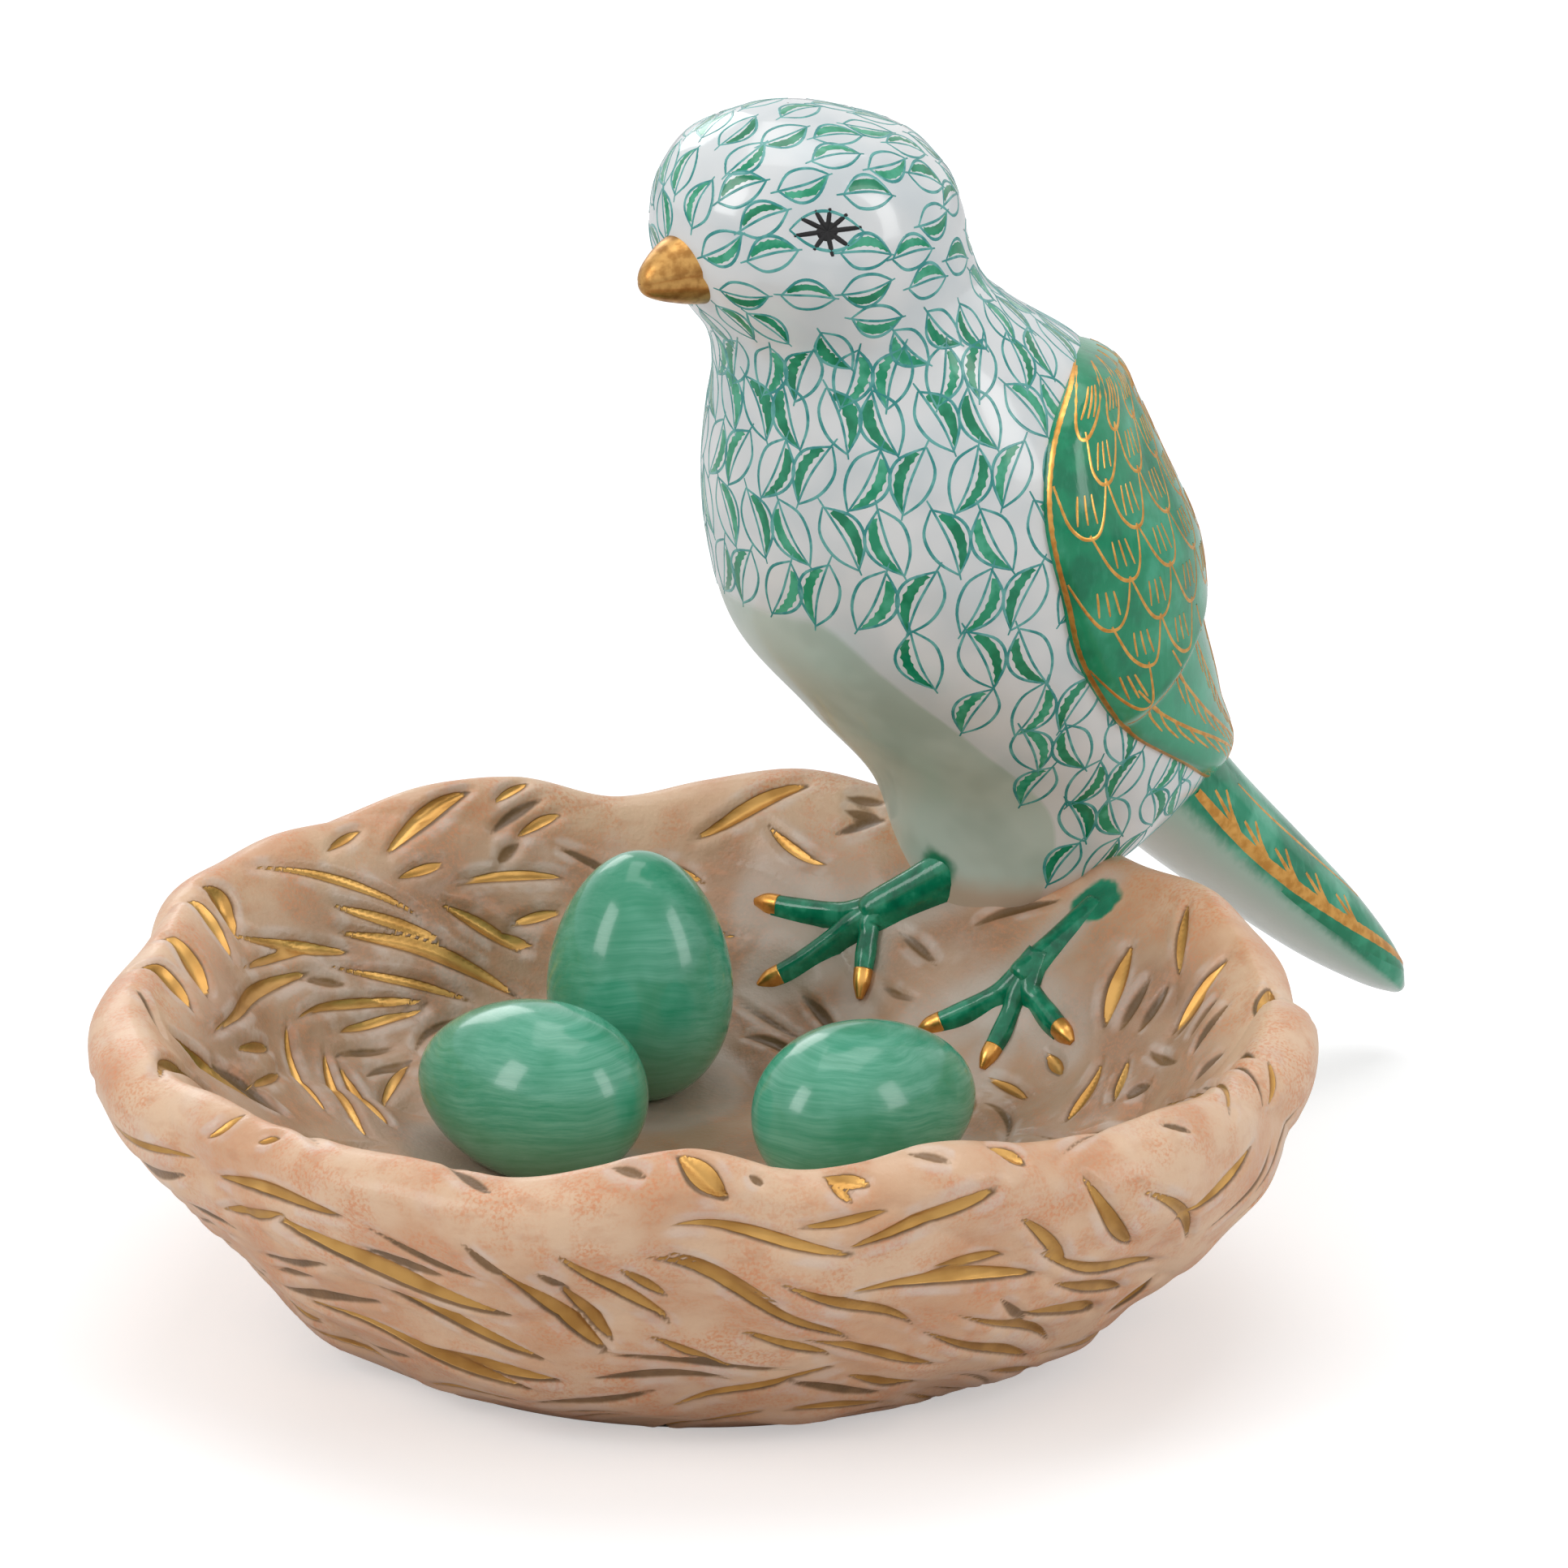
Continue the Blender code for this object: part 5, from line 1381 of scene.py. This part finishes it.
# %% [markdown]
# ## Gold on wings and tail
# A gold line borders each wing. Inside it small U-shaped scallops with three short barbs stand in staggered
# rows down to the edge of the coverts, and long quills with slanting barbs run from there towards the tail.
# They are drawn in the wing's own coordinates and then snapped to it, so they bend with the pad.

# %% Gold on the wings
BORDER = [(row, 0.012) for row in np.arange(0.3, 8.5, 0.6)] + [(8.6, 0.1), (8.75, 0.4)]


def row_at(up):
    return np.interp(up, WING_EDGES[::-1, 0], np.arange(9.0, -0.5, -1.0))


def covert_row(share):
    """Row at which the coverts end above the quills."""
    return row_at(COVERT_END + COVERT_CLIMB * share)


def wing_path(side, rows_and_shares):
    rows, shares = np.array(rows_and_shares, dtype=float).T
    return wing_skin(side, rows, shares)[0]


def scallop(side, up, share, reach, depth):
    steps = np.linspace(-1.0, 1.0, 7)
    rows = row_at(up - depth * (1.0 - np.abs(steps) ** 2.4))
    gold_lines.line(wing_grounds[side], wing_path(side, np.stack([rows, share + reach * steps], axis=1)), 0.4)
    for shift in (-0.4, 0.0, 0.4):
        barb = [
            (row_at(up - part * depth), share + reach * (shift * (0.6 + 0.4 * part)))
            for part in (0.2, 0.45, 0.72)
        ]
        gold_lines.line(wing_grounds[side], wing_path(side, barb), 0.28)


for side in (1, -1):
    gold_lines.line(wing_grounds[side], wing_path(side, BORDER), 0.75, 0.09)
    ledge = [(covert_row(share), share) for share in np.linspace(0.03, 0.96, 8)]
    gold_lines.line(wing_grounds[side], wing_path(side, ledge), 0.36)
    for i, up in enumerate((40.2, 36.6, 33.0, 29.3, 25.6, 21.9, 18.3)):
        for j in range(6):
            share = 0.11 + 0.18 * j + (0.09 if i % 2 else 0.0)
            if share < 0.95 and up - 3.9 > COVERT_END + COVERT_CLIMB * share:
                scallop(side, up, share, 0.09, 4.0)
    for j in range(5):
        share = 0.12 + 0.19 * j
        start, last = covert_row(share) - 0.5, 8.2
        steps = np.linspace(0.0, 1.0, 6)
        drift = (0.92 - share) * 0.5
        quill = np.stack([start + steps * (last - start), share + drift * steps**1.3], axis=1)
        gold_lines.line(wing_grounds[side], wing_path(side, quill), 0.4)
        for part in np.arange(0.1, 0.86, 0.1):
            row, near = start + part * (last - start), share + drift * part**1.3
            barb = [(row, near), (row + 0.35, near - 0.015), (row + 0.75, near - 0.02)]
            gold_lines.line(wing_grounds[side], wing_path(side, barb), 0.27)
print("gold on the wings:", len(gold_lines.faces), "faces")

# %% [markdown]
# The tail has a broad and a narrow gold quill on each side, with slanting barbs on the broad one and a dark
# stripe beside it. Each quill is one simple curve: a place along the tail and an angle round it.

# %% Gold on the tail
def tail_quill(first, last, turn, bend, low):
    """Places along the tail with the angle round it at each, which is lowest at one place."""
    return [(place, turn + bend * (place - low) ** 2) for place in np.linspace(first, last, 9)]


MAIN_QUILL = tail_quill(1.1, 5.3, -7.0, 5.2, 2.05)
SECOND_QUILL = tail_quill(1.6, 3.9, 34.0, 4.5, 1.6)


def tail_path(side, places_and_turns):
    places, turns = np.array(places_and_turns, dtype=float).T
    turns = np.radians(turns if side > 0 else 180.0 - turns)
    return tail_skin(places, turns)


for side in (1, -1):
    gold_lines.line(tail_ground, tail_path(side, MAIN_QUILL), 1.5, 0.09)
    gold_lines.line(tail_ground, tail_path(side, SECOND_QUILL), 0.42)
    for place, turn in MAIN_QUILL[1:6]:
        for back, rise in ((0.34, 16.0), (0.2, 24.0)):
            root, end = (place + 0.25, turn + 2.0), (place - back, turn + rise)
            barb = [root, (place - 0.1 * back, turn + 0.5 * rise), end]
            gold_lines.line(tail_ground, tail_path(side, barb), 0.5)
    stripe = tail_path(side, [(place + 0.05, turn - 11.0) for place, turn in MAIN_QUILL[3:]])
    stripe = along(stripe, np.linspace(0.0, len(stripe) - 1.0, 16))
    dark_dabs.leaf(tail_ground, stripe, 0.75 * np.sin(np.linspace(0.15, math.pi - 0.25, 16)) ** 0.6)
print("gold with the tail:", len(gold_lines.faces), "faces")

# %% [markdown]
# The enamel colours differ from stroke to stroke, because the brush held more or less paint: cloudy noise
# changes the green along each dab and the teal along each line.

# %% Enamels
def enamel(name, light, dark, patch, rough=0.15):
    made = Finish(name, roughness=rough, specular_ior_level=0.35, coat_weight=0.15, coat_roughness=0.05)
    cloud = made.noise(patch, 3.0)
    made.done(Base_Color=made.mix(cloud.within(0.36, 0.62), light, dark), Normal=made.bump(cloud, 0.01))
    return made.material


teal_lines.done("teal_lines", enamel("teal_enamel", colour(104, 180, 174), colour(48, 146, 142), 1.2))
green_dabs.done("green_dabs", enamel("light_green_enamel", colour(76, 178, 142), colour(26, 150, 108), 1.6))
dark_dabs.done("dark_dabs", enamel("dark_green_enamel", colour(38, 152, 112), colour(0, 128, 88), 1.6))
black_lines.done("eye_strokes", enamel("black_enamel", colour(26, 24, 26), colour(8, 8, 10), 1.0, 0.2))
gold_lines.done("gold_lines", line_gold)
